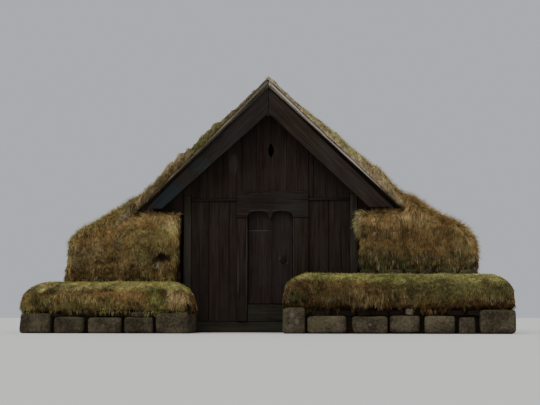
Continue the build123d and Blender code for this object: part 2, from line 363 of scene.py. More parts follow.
def wood_mat(name, grain, dark, mid, light, grey=(0.2, 0.19, 0.17), grey_amount=0.2, damp=None, scale=1.0,
             contrast=0.6, shade_band=None, spots=(), crack_depth=0.75, cracks=0.30):
    """Old wood with its grain along the unit vector grain. Each board is shifted by its tone."""
    mat, nt, bsdf = new_mat(name)
    n = N(nt)
    g = Vector(grain).normalized()
    a = Vector((0, 1, 0)) if abs(g.y) < 0.8 else Vector((1, 0, 0))
    b = g.cross(a).normalized()
    a = b.cross(g).normalized()
    tone = n.attr("tone")
    p = n.vec("ADD", n.coord(), n.xyz(n.math("MULTIPLY", tone, 13.7), n.math("MULTIPLY", tone, 5.1),
                                      n.math("MULTIPLY", tone, 29.3)))
    u = n.vec("DOT_PRODUCT", p, tuple(g))
    v = n.vec("DOT_PRODUCT", p, tuple(a))
    w = n.vec("DOT_PRODUCT", p, tuple(b))
    long_ = n.xyz(n.math("MULTIPLY", u, 1.1 * scale), n.math("MULTIPLY", v, 26 * scale), n.math("MULTIPLY", w, 26 * scale))
    fine = n.noise(long_, 1.6, 6, 0.62, distort=0.35)
    broad = n.noise(n.xyz(n.math("MULTIPLY", u, 0.55), n.math("MULTIPLY", v, 5.5), n.math("MULTIPLY", w, 5.5)), 1.3, 4, 0.6)
    blot = n.noise(p, 2.1, 4, 0.6)
    crack_n = n.noise(n.xyz(n.math("MULTIPLY", u, 1.7), n.math("MULTIPLY", v, 70), n.math("MULTIPLY", w, 70)), 1.0, 2, 0.5)
    crack = n.mapr(crack_n, cracks, cracks + 0.06, 0.0, 1.0)  # 0 in a crack
    col = n.ramp(n.math("ADD", n.math("MULTIPLY", fine, 0.6), n.math("MULTIPLY", broad, 0.4)),
                 [(0.30, dark), (0.47, mid), (0.66, light)])
    # whole boards differ in warmth and depth
    warm = n.mix(n.mapr(tone, 0.0, 1.0, 0.0, 1.0), (0.80, 0.84, 0.82), (1.18, 1.05, 1.00))
    col = n.mix(contrast, col, n.mix(1.0, col, warm, "MULTIPLY"))
    col = n.mix(n.math("MULTIPLY", n.mapr(blot, 0.42, 0.68), grey_amount), col, grey)
    if damp is not None:
        z = n.split(n.coord())[2]
        low = n.math("MULTIPLY", n.mapr(n.math("ADD", z, n.math("MULTIPLY", blot, 0.5)), damp[0], damp[1], 1.0, 0.0, True), damp[2])
        col = n.mix(low, col, damp[3])
    col = spotted(n, col, spots, blot)
    if shade_band is not None:
        # painted shade: the lower part of the timber, under the line z + slope * |x|, is given a dark colour
        s3 = n.split(n.coord())
        up = n.math("ADD", s3[2], n.math("MULTIPLY", n.math("ABSOLUTE", s3[0]), SLOPE - shade_band[3]))
        col = n.mix(n.mapr(up, shade_band[0], shade_band[1]), shade_band[2], col)
    col = n.mix(n.math("MULTIPLY", n.math("SUBTRACT", 1.0, crack), crack_depth), col, (0.006, 0.005, 0.004))
    nt.links.new(col, bsdf.inputs["Base Color"])
    rough = n.mapr(fine, 0.3, 0.7, 0.95, 0.80)
    nt.links.new(rough, bsdf.inputs["Roughness"])
    bsdf.inputs["Specular IOR Level"].default_value = 0.10
    height = n.math("ADD", n.math("MULTIPLY", fine, 0.6), n.math("MULTIPLY", crack, 0.6))
    nt.links.new(n.bump(height, 0.55, 0.004), bsdf.inputs["Normal"])
    return mat


def stone_mat(name, moss=0.35, gain=1.0, spots=()):
    mat, nt, bsdf = new_mat(name)
    n = N(nt)
    tone = n.attr("tone")
    p = n.vec("ADD", n.coord(), n.xyz(n.math("MULTIPLY", tone, 17.0), n.math("MULTIPLY", tone, 9.0), n.math("MULTIPLY", tone, 31.0)))
    big = n.noise(p, 3.2, 5, 0.6)
    small = n.noise(p, 26, 5, 0.65)
    speck = n.voronoi(p, 34)
    k = gain
    base = n.ramp(n.math("ADD", n.math("MULTIPLY", big, 0.55), n.math("MULTIPLY", small, 0.45)),
                  [(0.34, (0.020 * k, 0.015 * k, 0.011 * k)), (0.46, (0.058 * k, 0.047 * k, 0.032 * k)),
                   (0.57, (0.122 * k, 0.102 * k, 0.070 * k)), (0.70, (0.205 * k, 0.180 * k, 0.134 * k))])
    base = n.mix(1.0, base, n.ramp(tone, [(0.0, (0.42, 0.38, 0.33)), (0.5, (1.0, 0.97, 0.90)), (0.8, (1.25, 1.20, 1.10)),
                                          (1.0, (1.45, 1.36, 1.34))]), "MULTIPLY")
    # pale lichen and dark pits
    lich = n.mapr(n.math("SUBTRACT", n.noise(p, 11, 3, 0.6), n.math("MULTIPLY", speck, 0.35)), 0.48, 0.55)
    base = n.mix(n.math("MULTIPLY", lich, 0.38), base, (0.26 * k, 0.235 * k, 0.19 * k))
    pit = n.mapr(n.noise(p, 17, 3, 0.6), 0.60, 0.68)
    base = n.mix(n.math("MULTIPLY", pit, 0.55), base, (0.016, 0.012, 0.008))
    up = n.mapr(n.normal_z(), 0.1, 0.9)
    mossy = n.math("MULTIPLY", n.mapr(n.math("ADD", n.noise(p, 5.5, 4, 0.6), n.math("MULTIPLY", up, 0.25)), 0.50, 0.68), moss)
    base = n.mix(mossy, base, n.mix(n.noise(p, 30, 3, 0.6), (0.030, 0.032, 0.010), (0.110, 0.110, 0.030)))
    base = spotted(n, base, spots, small)
    nt.links.new(base, bsdf.inputs["Base Color"])
    nt.links.new(n.mapr(small, 0.3, 0.7, 0.98, 0.85), bsdf.inputs["Roughness"])
    bsdf.inputs["Specular IOR Level"].default_value = 0.15
    h = n.math("ADD", n.math("MULTIPLY", small, 0.5), n.math("MULTIPLY", n.noise(p, 70, 3, 0.6), 0.25))
    nt.links.new(n.bump(h, 0.7, 0.012), bsdf.inputs["Normal"])
    return mat


# Colours of the grass and sods, from wet roots through straw to green. A tone picks one.
DARK, BROWN, RED, OCHRE, STRAW, PALE, OLIVE, YELLOW, GREEN, DEEP = 0.04, 0.20, 0.30, 0.40, 0.50, 0.60, 0.70, 0.80, 0.90, 0.98
GRASS = [(0.00, (0.014, 0.009, 0.006)), (0.10, (0.050, 0.031, 0.015)), (0.20, (0.120, 0.074, 0.031)), (0.30, (0.255, 0.122, 0.050)),
         (0.40, (0.330, 0.200, 0.072)), (0.50, (0.470, 0.325, 0.130)), (0.60, (0.640, 0.500, 0.250)), (0.65, (0.560, 0.495, 0.370)), (0.70, (0.360, 0.310, 0.115)),
         (0.80, (0.440, 0.420, 0.130)), (0.90, (0.155, 0.168, 0.044)), (1.00, (0.042, 0.050, 0.018))]


def palette(t):
    """Colours (n, 3) of the tones t."""
    at = [g[0] for g in GRASS]
    return np.stack([np.interp(t, at, [g[1][k] for g in GRASS]) for k in range(3)], 1)


def thatch_mat(name, gain=0.8):
    """Sod between the blades: roots and thatch in the mean colour of the grass that grows on it, with that grass's
    painted light and shade.
    """
    mat, nt, bsdf = new_mat(name)
    n = N(nt)
    p = n.coord()
    s = n.split(p)
    fibre = n.noise(n.xyz(s[0], s[1], n.math("MULTIPLY", s[2], 0.4)), 38, 5, 0.7)
    clots = n.noise(p, 16, 4, 0.65)
    col = n.mix(1.0, n.attr_col("sod"), n.ramp(fibre, [(0.32, 0.45), (0.52, 0.95), (0.68, 1.45)]), "MULTIPLY")
    # gain below 1 makes the sod darker than its blades: painted shade under the blades
    col = n.mix(1.0, col, n.ramp(clots, [(0.34, 0.40 * gain), (0.52, 0.92 * gain), (0.68, 1.20 * gain)]), "MULTIPLY")
    nt.links.new(col, bsdf.inputs["Base Color"])
    bsdf.inputs["Roughness"].default_value = 0.97
    bsdf.inputs["Specular IOR Level"].default_value = 0.08
    nt.links.new(n.bump(n.math("ADD", fibre, n.math("MULTIPLY", clots, 0.6)), 0.9, 0.02), bsdf.inputs["Normal"])
    return mat


def sod_colour(me, v, n, tone_of, shade_of):
    """The mean colour of the grass at each vertex, with the painted light and shade given by shade_of."""
    col = np.zeros((len(v), 3))
    draws = (np.arange(12) + 0.5) / 12
    for r in draws:
        rr = np.full(len(v), r)
        col += palette(np.clip(tone_of(v, n, rr), 0.01, 0.99)) * shade_of(v, n, rr)[:, None]
    col /= len(draws)
    attr = me.attributes.new("sod", "FLOAT_COLOR", "POINT")
    attr.data.foreach_set("color", np.concatenate([col, np.ones((len(v), 1))], 1).astype(np.float32).ravel())


def soil_mat(name, dark=(0.010, 0.007, 0.005), light=(0.030, 0.020, 0.014)):
    mat, nt, bsdf = new_mat(name)
    n = N(nt)
    r = n.noise(n.coord(), 24, 5, 0.7)
    nt.links.new(n.ramp(r, [(0.3, dark), (0.7, light)]), bsdf.inputs["Base Color"])
    bsdf.inputs["Roughness"].default_value = 0.97
    bsdf.inputs["Specular IOR Level"].default_value = 0.08
    nt.links.new(n.bump(r, 0.8, 0.02), bsdf.inputs["Normal"])
    return mat


def grass_mat(name):
    """Blades: the colour follows each blade's own tone (U), and painted light and shade (V): the clump's value from
    shade_of times the way from its root to its tip, darker at the root.
    """
    mat, nt, bsdf = new_mat(name)
    n = N(nt)
    uvn = nt.nodes.new("ShaderNodeUVMap")
    uvn.uv_map = "OFBake"
    s = n.split(uvn.outputs[0])
    col = n.ramp(s[0], GRASS)
    shade = n.ramp(s[1], [(0.0, 0.04), (1.0, 1.25)])
    col = n.mix(1.0, col, shade, "MULTIPLY")
    nt.links.new(col, bsdf.inputs["Base Color"])
    bsdf.inputs["Roughness"].default_value = 0.9
    bsdf.inputs["Specular IOR Level"].default_value = 0.08
    return mat


def iron_mat(name):
    mat, nt, bsdf = new_mat(name)
    n = N(nt)
    p = n.coord()
    r = n.noise(p, 35, 5, 0.65)
    col = n.ramp(r, [(0.35, (0.005, 0.0045, 0.0045)), (0.55, (0.012, 0.010, 0.009)), (0.72, (0.034, 0.018, 0.011))])
    nt.links.new(col, bsdf.inputs["Base Color"])
    bsdf.inputs["Metallic"].default_value = 0.10
    bsdf.inputs["Specular IOR Level"].default_value = 0.22
    nt.links.new(n.mapr(r, 0.3, 0.7, 0.55, 0.85), bsdf.inputs["Roughness"])
    nt.links.new(n.bump(n.noise(p, 120, 3, 0.6), 0.4, 0.001), bsdf.inputs["Normal"])
    return mat


Z, X, Y = (0, 0, 1), (1, 0, 0), (0, 1, 0)
SR, SL = (1, 0, -SLOPE), (1, 0, SLOPE)
DAMP = (0.05, 0.75, 0.75, (0.016, 0.019, 0.013))
FRONT = dict(dark=(0.0105, 0.0066, 0.0050), mid=(0.0200, 0.0128, 0.0098), light=(0.0350, 0.0240, 0.0190), grey=(0.038, 0.032, 0.026))
# colour of the painted shade on the lower part of the right verge timbers
VERGE_SHADE = (0.020, 0.014, 0.009)
M = {
    "plank": wood_mat("tarred planks", Z, **FRONT, grey_amount=0.30, damp=DAMP,
                      spots=(((-1.20, F, 1.95), (0.05, 0.2, 0.40), (0.034, 0.026, 0.021), 0.7),
                             ((-0.98, F, 1.75), (0.04, 0.2, 0.50), (0.032, 0.025, 0.020), 0.6),
                             ((0.90, F, 1.30), (0.07, 0.2, 0.45), (0.030, 0.024, 0.018), 0.5))),
    "gable": wood_mat("tarred gable planks", Z, **FRONT, grey_amount=0.22,
                      spots=(((-0.63, F, 2.90), (0.09, 0.2, 0.20), (0.045, 0.036, 0.030), 0.9),
                             ((0.10, F, 2.72), (0.30, 0.2, 0.12), (0.026, 0.018, 0.014), 0.6))),
    "door": wood_mat("door planks", Z, (0.0085, 0.0058, 0.0048), (0.0190, 0.0125, 0.0105), (0.0340, 0.0245, 0.0215),
                     grey=(0.040, 0.034, 0.031), grey_amount=0.30,
                     # painted highlight along the top edge of the left face plank
                     spots=(((-0.175, F + 0.03, 1.742), (0.24, 0.02, 0.016), (0.070, 0.060, 0.053), 0.8),
                            ((0.170, F + 0.03, 1.262), (0.045, 0.05, 0.040), (0.052, 0.044, 0.039), 0.55),
                            ((0.285, F + 0.03, 1.190), (0.040, 0.05, 0.026), (0.052, 0.044, 0.039), 0.50),
                            ((0.228, F + 0.03, 1.240), (0.075, 0.05, 0.085), (0.0050, 0.0042, 0.0038), 0.85))),
    "jamb": wood_mat("door frame", Z, (0.0085, 0.0055, 0.0042), (0.0180, 0.0118, 0.0090), (0.0350, 0.0248, 0.0200),
                     grey=(0.042, 0.034, 0.029), grey_amount=0.32, damp=DAMP,
                     # painted highlights along the edges of the jambs
                     spots=(((-0.545, F - 0.04, 1.00), (0.035, 0.05, 0.42), (0.050, 0.037, 0.030), 0.60),
                            ((-0.392, F - 0.03, 1.30), (0.014, 0.09, 0.90), (0.060, 0.053, 0.044), 0.75),
                            ((0.402, F - 0.03, 1.30), (0.014, 0.09, 0.90), (0.052, 0.046, 0.038), 0.65))),
    "rail": wood_mat("cross timbers", X, (0.0080, 0.0055, 0.0040), (0.0160, 0.0112, 0.0085), (0.0310, 0.0235, 0.0185),
                     grey=(0.034, 0.031, 0.026), grey_amount=0.35),
    "sill": wood_mat("sill timbers", X, (0.007, 0.006, 0.004), (0.017, 0.0150, 0.0110), (0.036, 0.032, 0.025),
                     grey=(0.024, 0.028, 0.019), grey_amount=0.7),
    "sill_y": wood_mat("side sills", Y, (0.008, 0.006, 0.0045), (0.019, 0.0150, 0.0110), (0.040, 0.033, 0.026),
                       grey=(0.040, 0.045, 0.034), grey_amount=0.5),
    "header": wood_mat("carved header", X, (0.0088, 0.0062, 0.0048), (0.0185, 0.0130, 0.0104), (0.0345, 0.0265, 0.0218),
                       grey=(0.036, 0.033, 0.027), grey_amount=0.42,
                       spots=(((-0.19, F - 0.05, 2.075), (0.20, 0.05, 0.016), (0.050, 0.045, 0.038), 0.6),
                              ((0.20, F - 0.05, 2.075), (0.20, 0.05, 0.016), (0.050, 0.045, 0.038), 0.6))),
    "post": wood_mat("corner posts", Z, (0.0140, 0.0110, 0.0078), (0.0305, 0.0238, 0.0178), (0.0590, 0.0480, 0.0380),
                     grey=(0.045, 0.042, 0.034), grey_amount=0.5, damp=DAMP,
                     spots=(((-1.43, F, 1.45), (0.12, 0.3, 0.75), (0.060, 0.050, 0.041), 0.50),)),
    # painted shade along the lower edge of the right barge boards, towards the apex
    "bargeR": wood_mat("right barge boards", SR, (0.0110, 0.0078, 0.0059), (0.0235, 0.0170, 0.0130), (0.0445, 0.0340, 0.0270),
                       grey=(0.037, 0.032, 0.027), grey_amount=0.5, shade_band=(3.700, 3.760, (0.010, 0.007, 0.005), 0.0)),
    "bargeL": wood_mat("left barge boards", SL, (0.0088, 0.0068, 0.0054), (0.0185, 0.0145, 0.0118), (0.0350, 0.0285, 0.0240),
                       grey=(0.027, 0.027, 0.026), grey_amount=0.55,
                       spots=(((-1.72, F - 0.3, 2.26), (0.36, 0.3, 0.36), (0.016, 0.026, 0.030), 0.75),
                              ((-1.18, F - 0.3, 2.84), (0.22, 0.3, 0.16), (0.022, 0.033, 0.037), 0.38),
                              ((-0.62, F - 0.3, 3.35), (0.20, 0.3, 0.18), (0.028, 0.022, 0.027), 0.40))),
    # painted shade on the lower part of the right verge timbers, in the gap over the barge boards
    "vergeR": wood_mat("right verge timbers", SR, (0.105, 0.092, 0.074), (0.280, 0.250, 0.205), (0.500, 0.460, 0.395),
                       grey=(0.38, 0.345, 0.29), grey_amount=0.5, shade_band=(4.182, 4.204, VERGE_SHADE, 0.040), cracks=0.36,
                       spots=(((0.25, F - 0.35, 4.02), (0.75, 0.4, 0.75), (0.52, 0.47, 0.39), 0.65),)),
    # painted shade on the lower part of the left verge timbers, in the gap over the barge boards
    "vergeL": wood_mat("left verge timbers", SL, (0.065, 0.053, 0.037), (0.170, 0.143, 0.103), (0.360, 0.315, 0.245),
                       grey=(0.23, 0.205, 0.150), grey_amount=0.5, shade_band=(4.166, 4.196, (0.034, 0.024, 0.014), 0.040), cracks=0.36),
    "inz": wood_mat("inner wall timber", Z, (0.040, 0.025, 0.015), (0.092, 0.060, 0.037), (0.165, 0.115, 0.074),
                    grey=(0.12, 0.10, 0.08), grey_amount=0.3),
    "iny": wood_mat("inner long timber", Y, (0.040, 0.025, 0.015), (0.092, 0.060, 0.037), (0.165, 0.115, 0.074),
                    grey=(0.12, 0.10, 0.08), grey_amount=0.3),
    "inx": wood_mat("inner cross timber", X, (0.040, 0.025, 0.015), (0.092, 0.060, 0.037), (0.165, 0.115, 0.074),
                    grey=(0.12, 0.10, 0.08), grey_amount=0.3),
    "insr": wood_mat("right rafters", SR, (0.040, 0.025, 0.015), (0.092, 0.060, 0.037), (0.165, 0.115, 0.074),
                     grey=(0.12, 0.10, 0.08), grey_amount=0.3),
    "insl": wood_mat("left rafters", SL, (0.040, 0.025, 0.015), (0.092, 0.060, 0.037), (0.165, 0.115, 0.074),
                     grey=(0.12, 0.10, 0.08), grey_amount=0.3),
    "stone": stone_mat("field stone", 0.30, 0.80,
                       spots=(((0.325, -3.27, 0.20), (0.075, 0.3, 0.26), (0.062, 0.064, 0.032), 0.75),
                              ((0.47, -3.28, 0.30), (0.05, 0.1, 0.05), (0.150, 0.125, 0.115), 0.55),
                              ((0.55, -3.28, 0.19), (0.04, 0.1, 0.06), (0.150, 0.125, 0.115), 0.50),
                              ((0.44, -3.28, 0.12), (0.05, 0.1, 0.04), (0.130, 0.110, 0.098), 0.45),
                              ((0.86, -3.28, 0.14), (0.20, 0.1, 0.07), (0.085, 0.080, 0.032), 0.60),
                              # painted shade in a notch at the right end of the left wall's end stone
                              ((-1.22, -3.05, 0.20), (0.05, 0.15, 0.10), (0.020, 0.014, 0.010), 0.8))),
    "mossy stone": stone_mat("mossy stone", 0.60, 0.80),
    "thatch": thatch_mat("sod"),
    "moss": thatch_mat("moss crust", 1.0),
    "soil": soil_mat("dark joint earth"),
    "grass": grass_mat("dry grass"),
    "iron": iron_mat("wrought iron"),
}


# ------------------------------------------------------------------ boards
def plank_prism(poly, y0, y1, bevel=0.005, seed=0, bend=0.003, cuts=0.35, cut_dir=Z, seam=None):
    """A board whose outline poly lies in x and z, between y0 and y1, with worn edges and a little warp."""
    bm = bmesh.new()
    front = [bm.verts.new((x, y0, z)) for x, z in poly]
    back = [bm.verts.new((x, y1, z)) for x, z in poly]
    area = sum(poly[i][0] * poly[(i + 1) % len(poly)][1] - poly[(i + 1) % len(poly)][0] * poly[i][1] for i in range(len(poly)))
    order = front if area > 0 else front[::-1]
    bm.faces.new(order)
    bm.faces.new((back if area > 0 else back[::-1])[::-1])
    for i in range(len(poly)):
        j = (i + 1) % len(poly)
        q = (front[i], back[i], back[j], front[j])
        bm.faces.new(q if area > 0 else q[::-1])
    bm.normal_update()
    if bevel:
        edges = [e for e in bm.edges if seam is None or not all(abs(v.co.x - seam) < 1e-6 for v in e.verts)]
        bmesh.ops.bevel(bm, geom=edges, offset=bevel, segments=1, profile=0.5, affect="EDGES", clamp_overlap=True)
    if cuts:
        slab_cuts(bm, cut_dir, cuts)
    co = np.array([v.co[:] for v in bm.verts])
    dy = bend * fbm(co * [1, 0, 1] + seed * 3.7, 0.8, 2, seed)
    for v, d in zip(bm.verts, dy):
        v.co.y += d
    return bm


def board_wall(gather, x0, x1, bottom, top, y0, y1, face, widths, seed, gap=0.007, holes=()):
    """Upright boards from x0 to x1. bottom and top give z at each x. face is -1 where y0 is the outside."""
    rng = np.random.default_rng(seed)
    x = x0
    k = 0
    while x < x1 - 0.02:
        w = widths[k % len(widths)]
        xe = min(x + w, x1)
        if x1 - xe < 0.07:
            xe = x1
        a, b = x + gap / 2 * (k > 0), xe - gap / 2 * (xe < x1)
        xs = [a] + [m for m in (0.0,) if a < m < b] + [b]
        poly = [(xx, bottom(xx)) for xx in xs] + [(xx, top(xx)) for xx in reversed(xs)]
        off = rng.uniform(0, 0.006)
        ya, yb = (y0 + off, y1) if face < 0 else (y0, y1 - off)
        bm = plank_prism(poly, ya, yb, 0.006, seed + k)
        gather.add_bm(bm, rng.uniform(0, 1))
        bm.free()
        x = xe
        k += 1


def flat(v):
    return lambda x: v


def strip_boards(gather, edges, strong, bottom, top, seed, holes=None):
    """Front boards between the given edges. Joints listed in strong stand open, the others are tight."""
    rng = np.random.default_rng(seed)
    for k in range(len(edges) - 1):
        a, b = edges[k], edges[k + 1]
        ga = 0.0 if k == 0 else (0.0035 if any(abs(a - s) < 0.004 for s in strong) else 0.0008)
        gb = 0.0 if k == len(edges) - 2 else (0.0035 if any(abs(b - s) < 0.004 for s in strong) else 0.0008)
        xs = [a + ga] + [m for m in (0.0,) if a < m < b] + [b - gb]
        lo = bottom((a + b) / 2)
        poly = [(x, lo) for x in xs] + [(x, top(x)) for x in reversed(xs)]
        bm = plank_prism(poly, F + rng.uniform(0, 0.004), F + 0.034, 0.0035, seed + k)
        gather.add_bm(bm, rng.uniform(0.15, 0.85))
        bm.free()


# front wall left and right of the door
for side, edges, strong, x0, x1 in (
        ("left", (-POST_IN, -1.215, -1.055, -0.875, -0.704, -0.57), (-1.055, -0.704), -POST_IN, -0.57),
        ("right", (0.665, 0.835, 1.003, 1.110, 1.217, POST_IN), (1.003, 1.217), 0.665, POST_IN)):
    g = Gather()
    strip_boards(g, edges, strong, flat(0.19), flat(2.25), 11 if side == "left" else 23)
    board_wall(g, x0, x1, flat(0.19), flat(2.25), F + 0.036, F + 0.050, 1, (0.30,), 5, 0.003)
    put(f"front_boards_{side}", g.mesh(f"front_boards_{side}"), M["plank"], "house", f"front_planks_{side}")

# gable over the door, with the peep hole
roof_line = lambda z0: (lambda x: z0 - SLOPE * abs(x))
g = Gather()
LOW = 2.29


def gable_bottom(x):
    return 2.42 if -0.57 - 1e-6 < x < 0.665 + 1e-6 else LOW


HOLE = [(0, 2.995), (0.034, 3.050), (0.050, 3.120), (0.034, 3.185), (0, 3.250), (-0.034, 3.185), (-0.050, 3.120), (-0.034, 3.050)]
HX = 0.015
HOLE_L, HOLE_R = -0.239, 0.291
strip_boards(g, (-1.36, -1.10, -0.817, -0.57, -0.48, HOLE_L), (-0.817, -0.48), gable_bottom, roof_line(4.088), 60)
strip_boards(g, (HOLE_R, 0.47, 0.665, 0.753, 0.95, 1.15, 1.36), (0.665, 0.753), gable_bottom, roof_line(4.088), 70)
top = roof_line(4.088)
for sgn in (-1, 1):
    # the board with the hole is made of two halves that meet without a seam
    if sgn < 0:
        outline = [(HOLE_L + 0.0035, 2.42), (HX, 2.42), (HX, 2.995)] + [(HX + q[0], q[1]) for q in HOLE[:3:-1]] + [(HX, 3.250)]
        outline += [(HX, top(HX)), (0.0, top(0.0)), (HOLE_L + 0.0035, top(HOLE_L + 0.0035))]
    else:
        outline = [(HX, 2.42), (HOLE_R - 0.0035, 2.42), (HOLE_R - 0.0035, top(HOLE_R - 0.0035)), (HX, top(HX)), (HX, 3.250)]
        outline += [(HX + q[0], q[1]) for q in HOLE[3:0:-1]] + [(HX, 2.995)]
    clean = []
    for q in outline:
        if not clean or math.dist(q, clean[-1]) > 1e-6:
            clean.append(q)
    if math.dist(clean[0], clean[-1]) < 1e-6:
        clean.pop()
    bm = plank_prism(clean, F + 0.001, F + 0.034, 0.0035, 77, 0.0, 0, seam=HX)
    g.add_bm(bm, 0.45)
    bm.free()
# inner skin, in four pieces around the hole
top = roof_line(4.088)
for poly in (
    [(-1.36, LOW), (-0.57, LOW), (-0.57, 2.42), (-0.045, 2.42), (-0.045, top(0.045)), (-1.36, top(1.36))],
    [(0.075, 2.42), (0.665, 2.42), (0.665, LOW), (1.36, LOW), (1.36, top(1.36)), (0.075, top(0.075))],
    [(-0.045, 2.42), (0.075, 2.42), (0.075, 2.985), (-0.045, 2.985)],
    [(-0.045, 3.26), (0.075, 3.26), (0.075, 3.70), (-0.045, 3.70)],
):
    bm = plank_prism(poly, F + 0.036, F + 0.050, 0, 5, 0, 0)
    g.add_bm(bm, 0.5)
    bm.free()
# short boards close the eaves over the turf walls
EAVES = (1.502, 1.660, 1.835, 2.085)
for sgn in (-1, 1):
    edges = EAVES if sgn > 0 else tuple(-e for e in EAVES[::-1])
    strip_boards(g, edges, (), flat(2.032), roof_line(4.088), 90 + sgn)
    board_wall(g, edges[0], edges[-1], flat(2.032), roof_line(4.088), F + 0.036, F + 0.050, 1, (0.30,), 5, 0.003)
put("front_gable_boards", g.mesh("front_gable_boards"), M["gable"], "house", "front_gable_planks")

# rear wall and gable
g = Gather()
board_wall(g, -POST_IN, POST_IN, flat(0.19), flat(2.25), R - 0.034, R, 1, (0.25, 0.20, 0.22, 0.27, 0.18), 71)
board_wall(g, -POST_IN, POST_IN, flat(0.19), flat(2.25), R - 0.050, R - 0.036, -1, (0.30,), 5, 0.003)
put("rear_boards", g.mesh("rear_boards"), M["plank"], "house", "rear_planks")
g = Gather()
board_wall(g, -POST_IN, POST_IN, flat(LOW), roof_line(4.088), R - 0.034, R, 1, (0.22, 0.26, 0.19, 0.24), 83)
board_wall(g, -POST_IN, POST_IN, flat(LOW), roof_line(4.088), R - 0.050, R - 0.036, -1, (0.30,), 5, 0.003)
for x0, x1 in ((-EAVES[-1], -EAVES[0]), (EAVES[0], EAVES[-1])):
    board_wall(g, x0, x1, flat(2.032), roof_line(4.088), R - 0.034, R, 1, (0.20, 0.17, 0.22), 97)
    board_wall(g, x0, x1, flat(2.032), roof_line(4.088), R - 0.050, R - 0.036, -1, (0.30,), 5, 0.003)
put("rear_gable_boards", g.mesh("rear_gable_boards"), M["gable"], "house", "rear_gable_planks")

# rails, posts, frame of the door
hewn("front_rail_timbers", "front_rails", X, M["rail"], 0.007, 0.2, 0.004, 0.4, 1)
hewn("rear_rail_timber", "rear_rail", X, M["rail"], 0.007, 0.25, 0.004, 0.4, 2)
hewn("corner_post_timbers", "corner_posts", Z, M["post"], 0.014, 0.25, 0.007, 0.6, 3)
hewn("door_jamb_timbers", "door_jambs", Z, M["jamb"], 0.012, 0.2, 0.005, 0.5, 4)
hewn("door_sill_timber", "door_sill", X, M["sill"], 0.012, 0.15, 0.005, 0.4, 5)
hewn("gable_sill_timbers", "gable_sills", X, M["sill"], 0.016, 0.25, 0.007, 0.5, 6)
hewn("side_sill_timbers", "side_sills", Y, M["sill_y"], 0.016, 0.4, 0.007, 0.5, 7)
hewn("door_lintel_timber", "door_lintel", X, M["inx"], 0.008, 0.25, 0.003, 0.5, 8)

# verge and barge
hewn("barge_left", "barge_boards_left", SL, M["bargeL"], 0.008, 0.16, 0.007, 0.45, 12, fine=0.003)
hewn("barge_right", "barge_boards_right", SR, M["bargeR"], 0.008, 0.16, 0.007, 0.45, 13, fine=0.003)
hewn("verge_left", "verge_timbers_left", SL, M["vergeL"], 0.018, 0.12, 0.012, 0.35, 14, fine=0.004)
hewn("verge_right", "verge_timbers_right", SR, M["vergeR"], 0.018, 0.12, 0.012, 0.35, 15, fine=0.004)

# roof frame and the inside
hewn("rafters_l", "rafters_left", SL, M["insl"], 0.010, 0.4, 0.006, 0.6, 21)
hewn("rafters_r", "rafters_right", SR, M["insr"], 0.010, 0.4, 0.006, 0.6, 22)
hewn("ridge_timber", "ridge_beam", Y, M["iny"], 0.010, 0.4, 0.005, 0.6, 23)
hewn("wall_plate_timbers", "wall_plates", Y, M["sill_y"], 0.008, 0.4, 0.004, 0.6, 24)
hewn("tie_timbers", "tie_beams", X, M["inx"], 0.012, 0.3, 0.005, 0.6, 25)
hewn("side_post_timbers", "side_posts", Z, M["inz"], 0.012, 0.3, 0.005, 0.6, 26)
hewn("joist_timbers", "floor_joists", X, M["inx"], 0.012, 0.4, 0.004, 0.6, 27)


def swap_xy(bm):
    for v in bm.verts:
        v.co = Vector((v.co.y, v.co.x, v.co.z))
    bmesh.ops.reverse_faces(bm, faces=bm.faces[:])


# floor boards run along the house
g = Gather()
rng2 = np.random.default_rng(5)
edges = np.linspace(-1.34, 1.34, 13) + np.concatenate([[0], rng2.uniform(-0.02, 0.02, 11), [0]])
for k in range(12):
    bm = plank_prism([(edges[k] + 0.002, 0.19), (edges[k + 1] - 0.002, 0.19), (edges[k + 1] - 0.002, 0.229), (edges[k] + 0.002, 0.229)],
                     F + 0.11, R - 0.11, 0.004, k, 0, 0.4, Y)
    g.add_bm(bm, rng2.uniform(0, 1))
    bm.free()
put("floor_planks", g.mesh("floor_planks"), M["iny"], "house", "floor_boards")

# upright boards of the side walls: drawn along x, then turned to run along y
g = Gather()
for sgn in (-1, 1):
    sub = Gather()
    y0, y1 = (1.40, 1.45)
    rng3 = np.random.default_rng(8 + sgn)
    y = F + 0.12
    while y < R - 0.12 - 1e-6:
        w = rng3.uniform(0.20, 0.28)
        ye = min(y + w, R - 0.12)
        if R - 0.12 - ye < 0.08:
            ye = R - 0.12
        a, b = (y0, y1) if sgn > 0 else (-y1, -y0)
        bm = plank_prism([(y + 0.002, 0.19), (ye - 0.002, 0.19), (ye - 0.002, 2.36), (y + 0.002, 2.36)], a, b, 0.004, 3, 0, 0.5)
        swap_xy(bm)
        g.add_bm(bm, rng3.uniform(0, 1))
        bm.free()
        y = ye
put("side_boards", g.mesh("side_boards"), M["inz"], "house", "side_planks")

# roof boards run along the house, one above another up the slope
for side, sg, key in (("left", -1, "iny"), ("right", 1, "iny")):
    g = Gather()
    rng4 = np.random.default_rng(31 + sg)
    xs = np.linspace(0, 2.104, 13)
    for k in range(12):
        a, b = xs[k] + 0.0015 * (k > 0), xs[k + 1] - 0.0015
        zl = lambda x: 4.09 - SLOPE * x
        zt = lambda x: 4.14 - SLOPE * x
        poly = [(a, zl(a)), (b, zl(b)), (b + (0.051 if k == 11 else 0), zt(b) - (0.05 if k == 11 else 0)), (a, zt(a))]
        poly = [(sg * x, z) for x, z in poly]
        bm = plank_prism(poly, F - 0.24, R + 0.24, 0.004, k, 0, 0.5, Y)
        g.add_bm(bm, rng4.uniform(0, 1))
        bm.free()
    put(f"roof_planks_{side}", g.mesh(f"roof_planks_{side}"), M[key], "house", f"roof_boards_{side}")

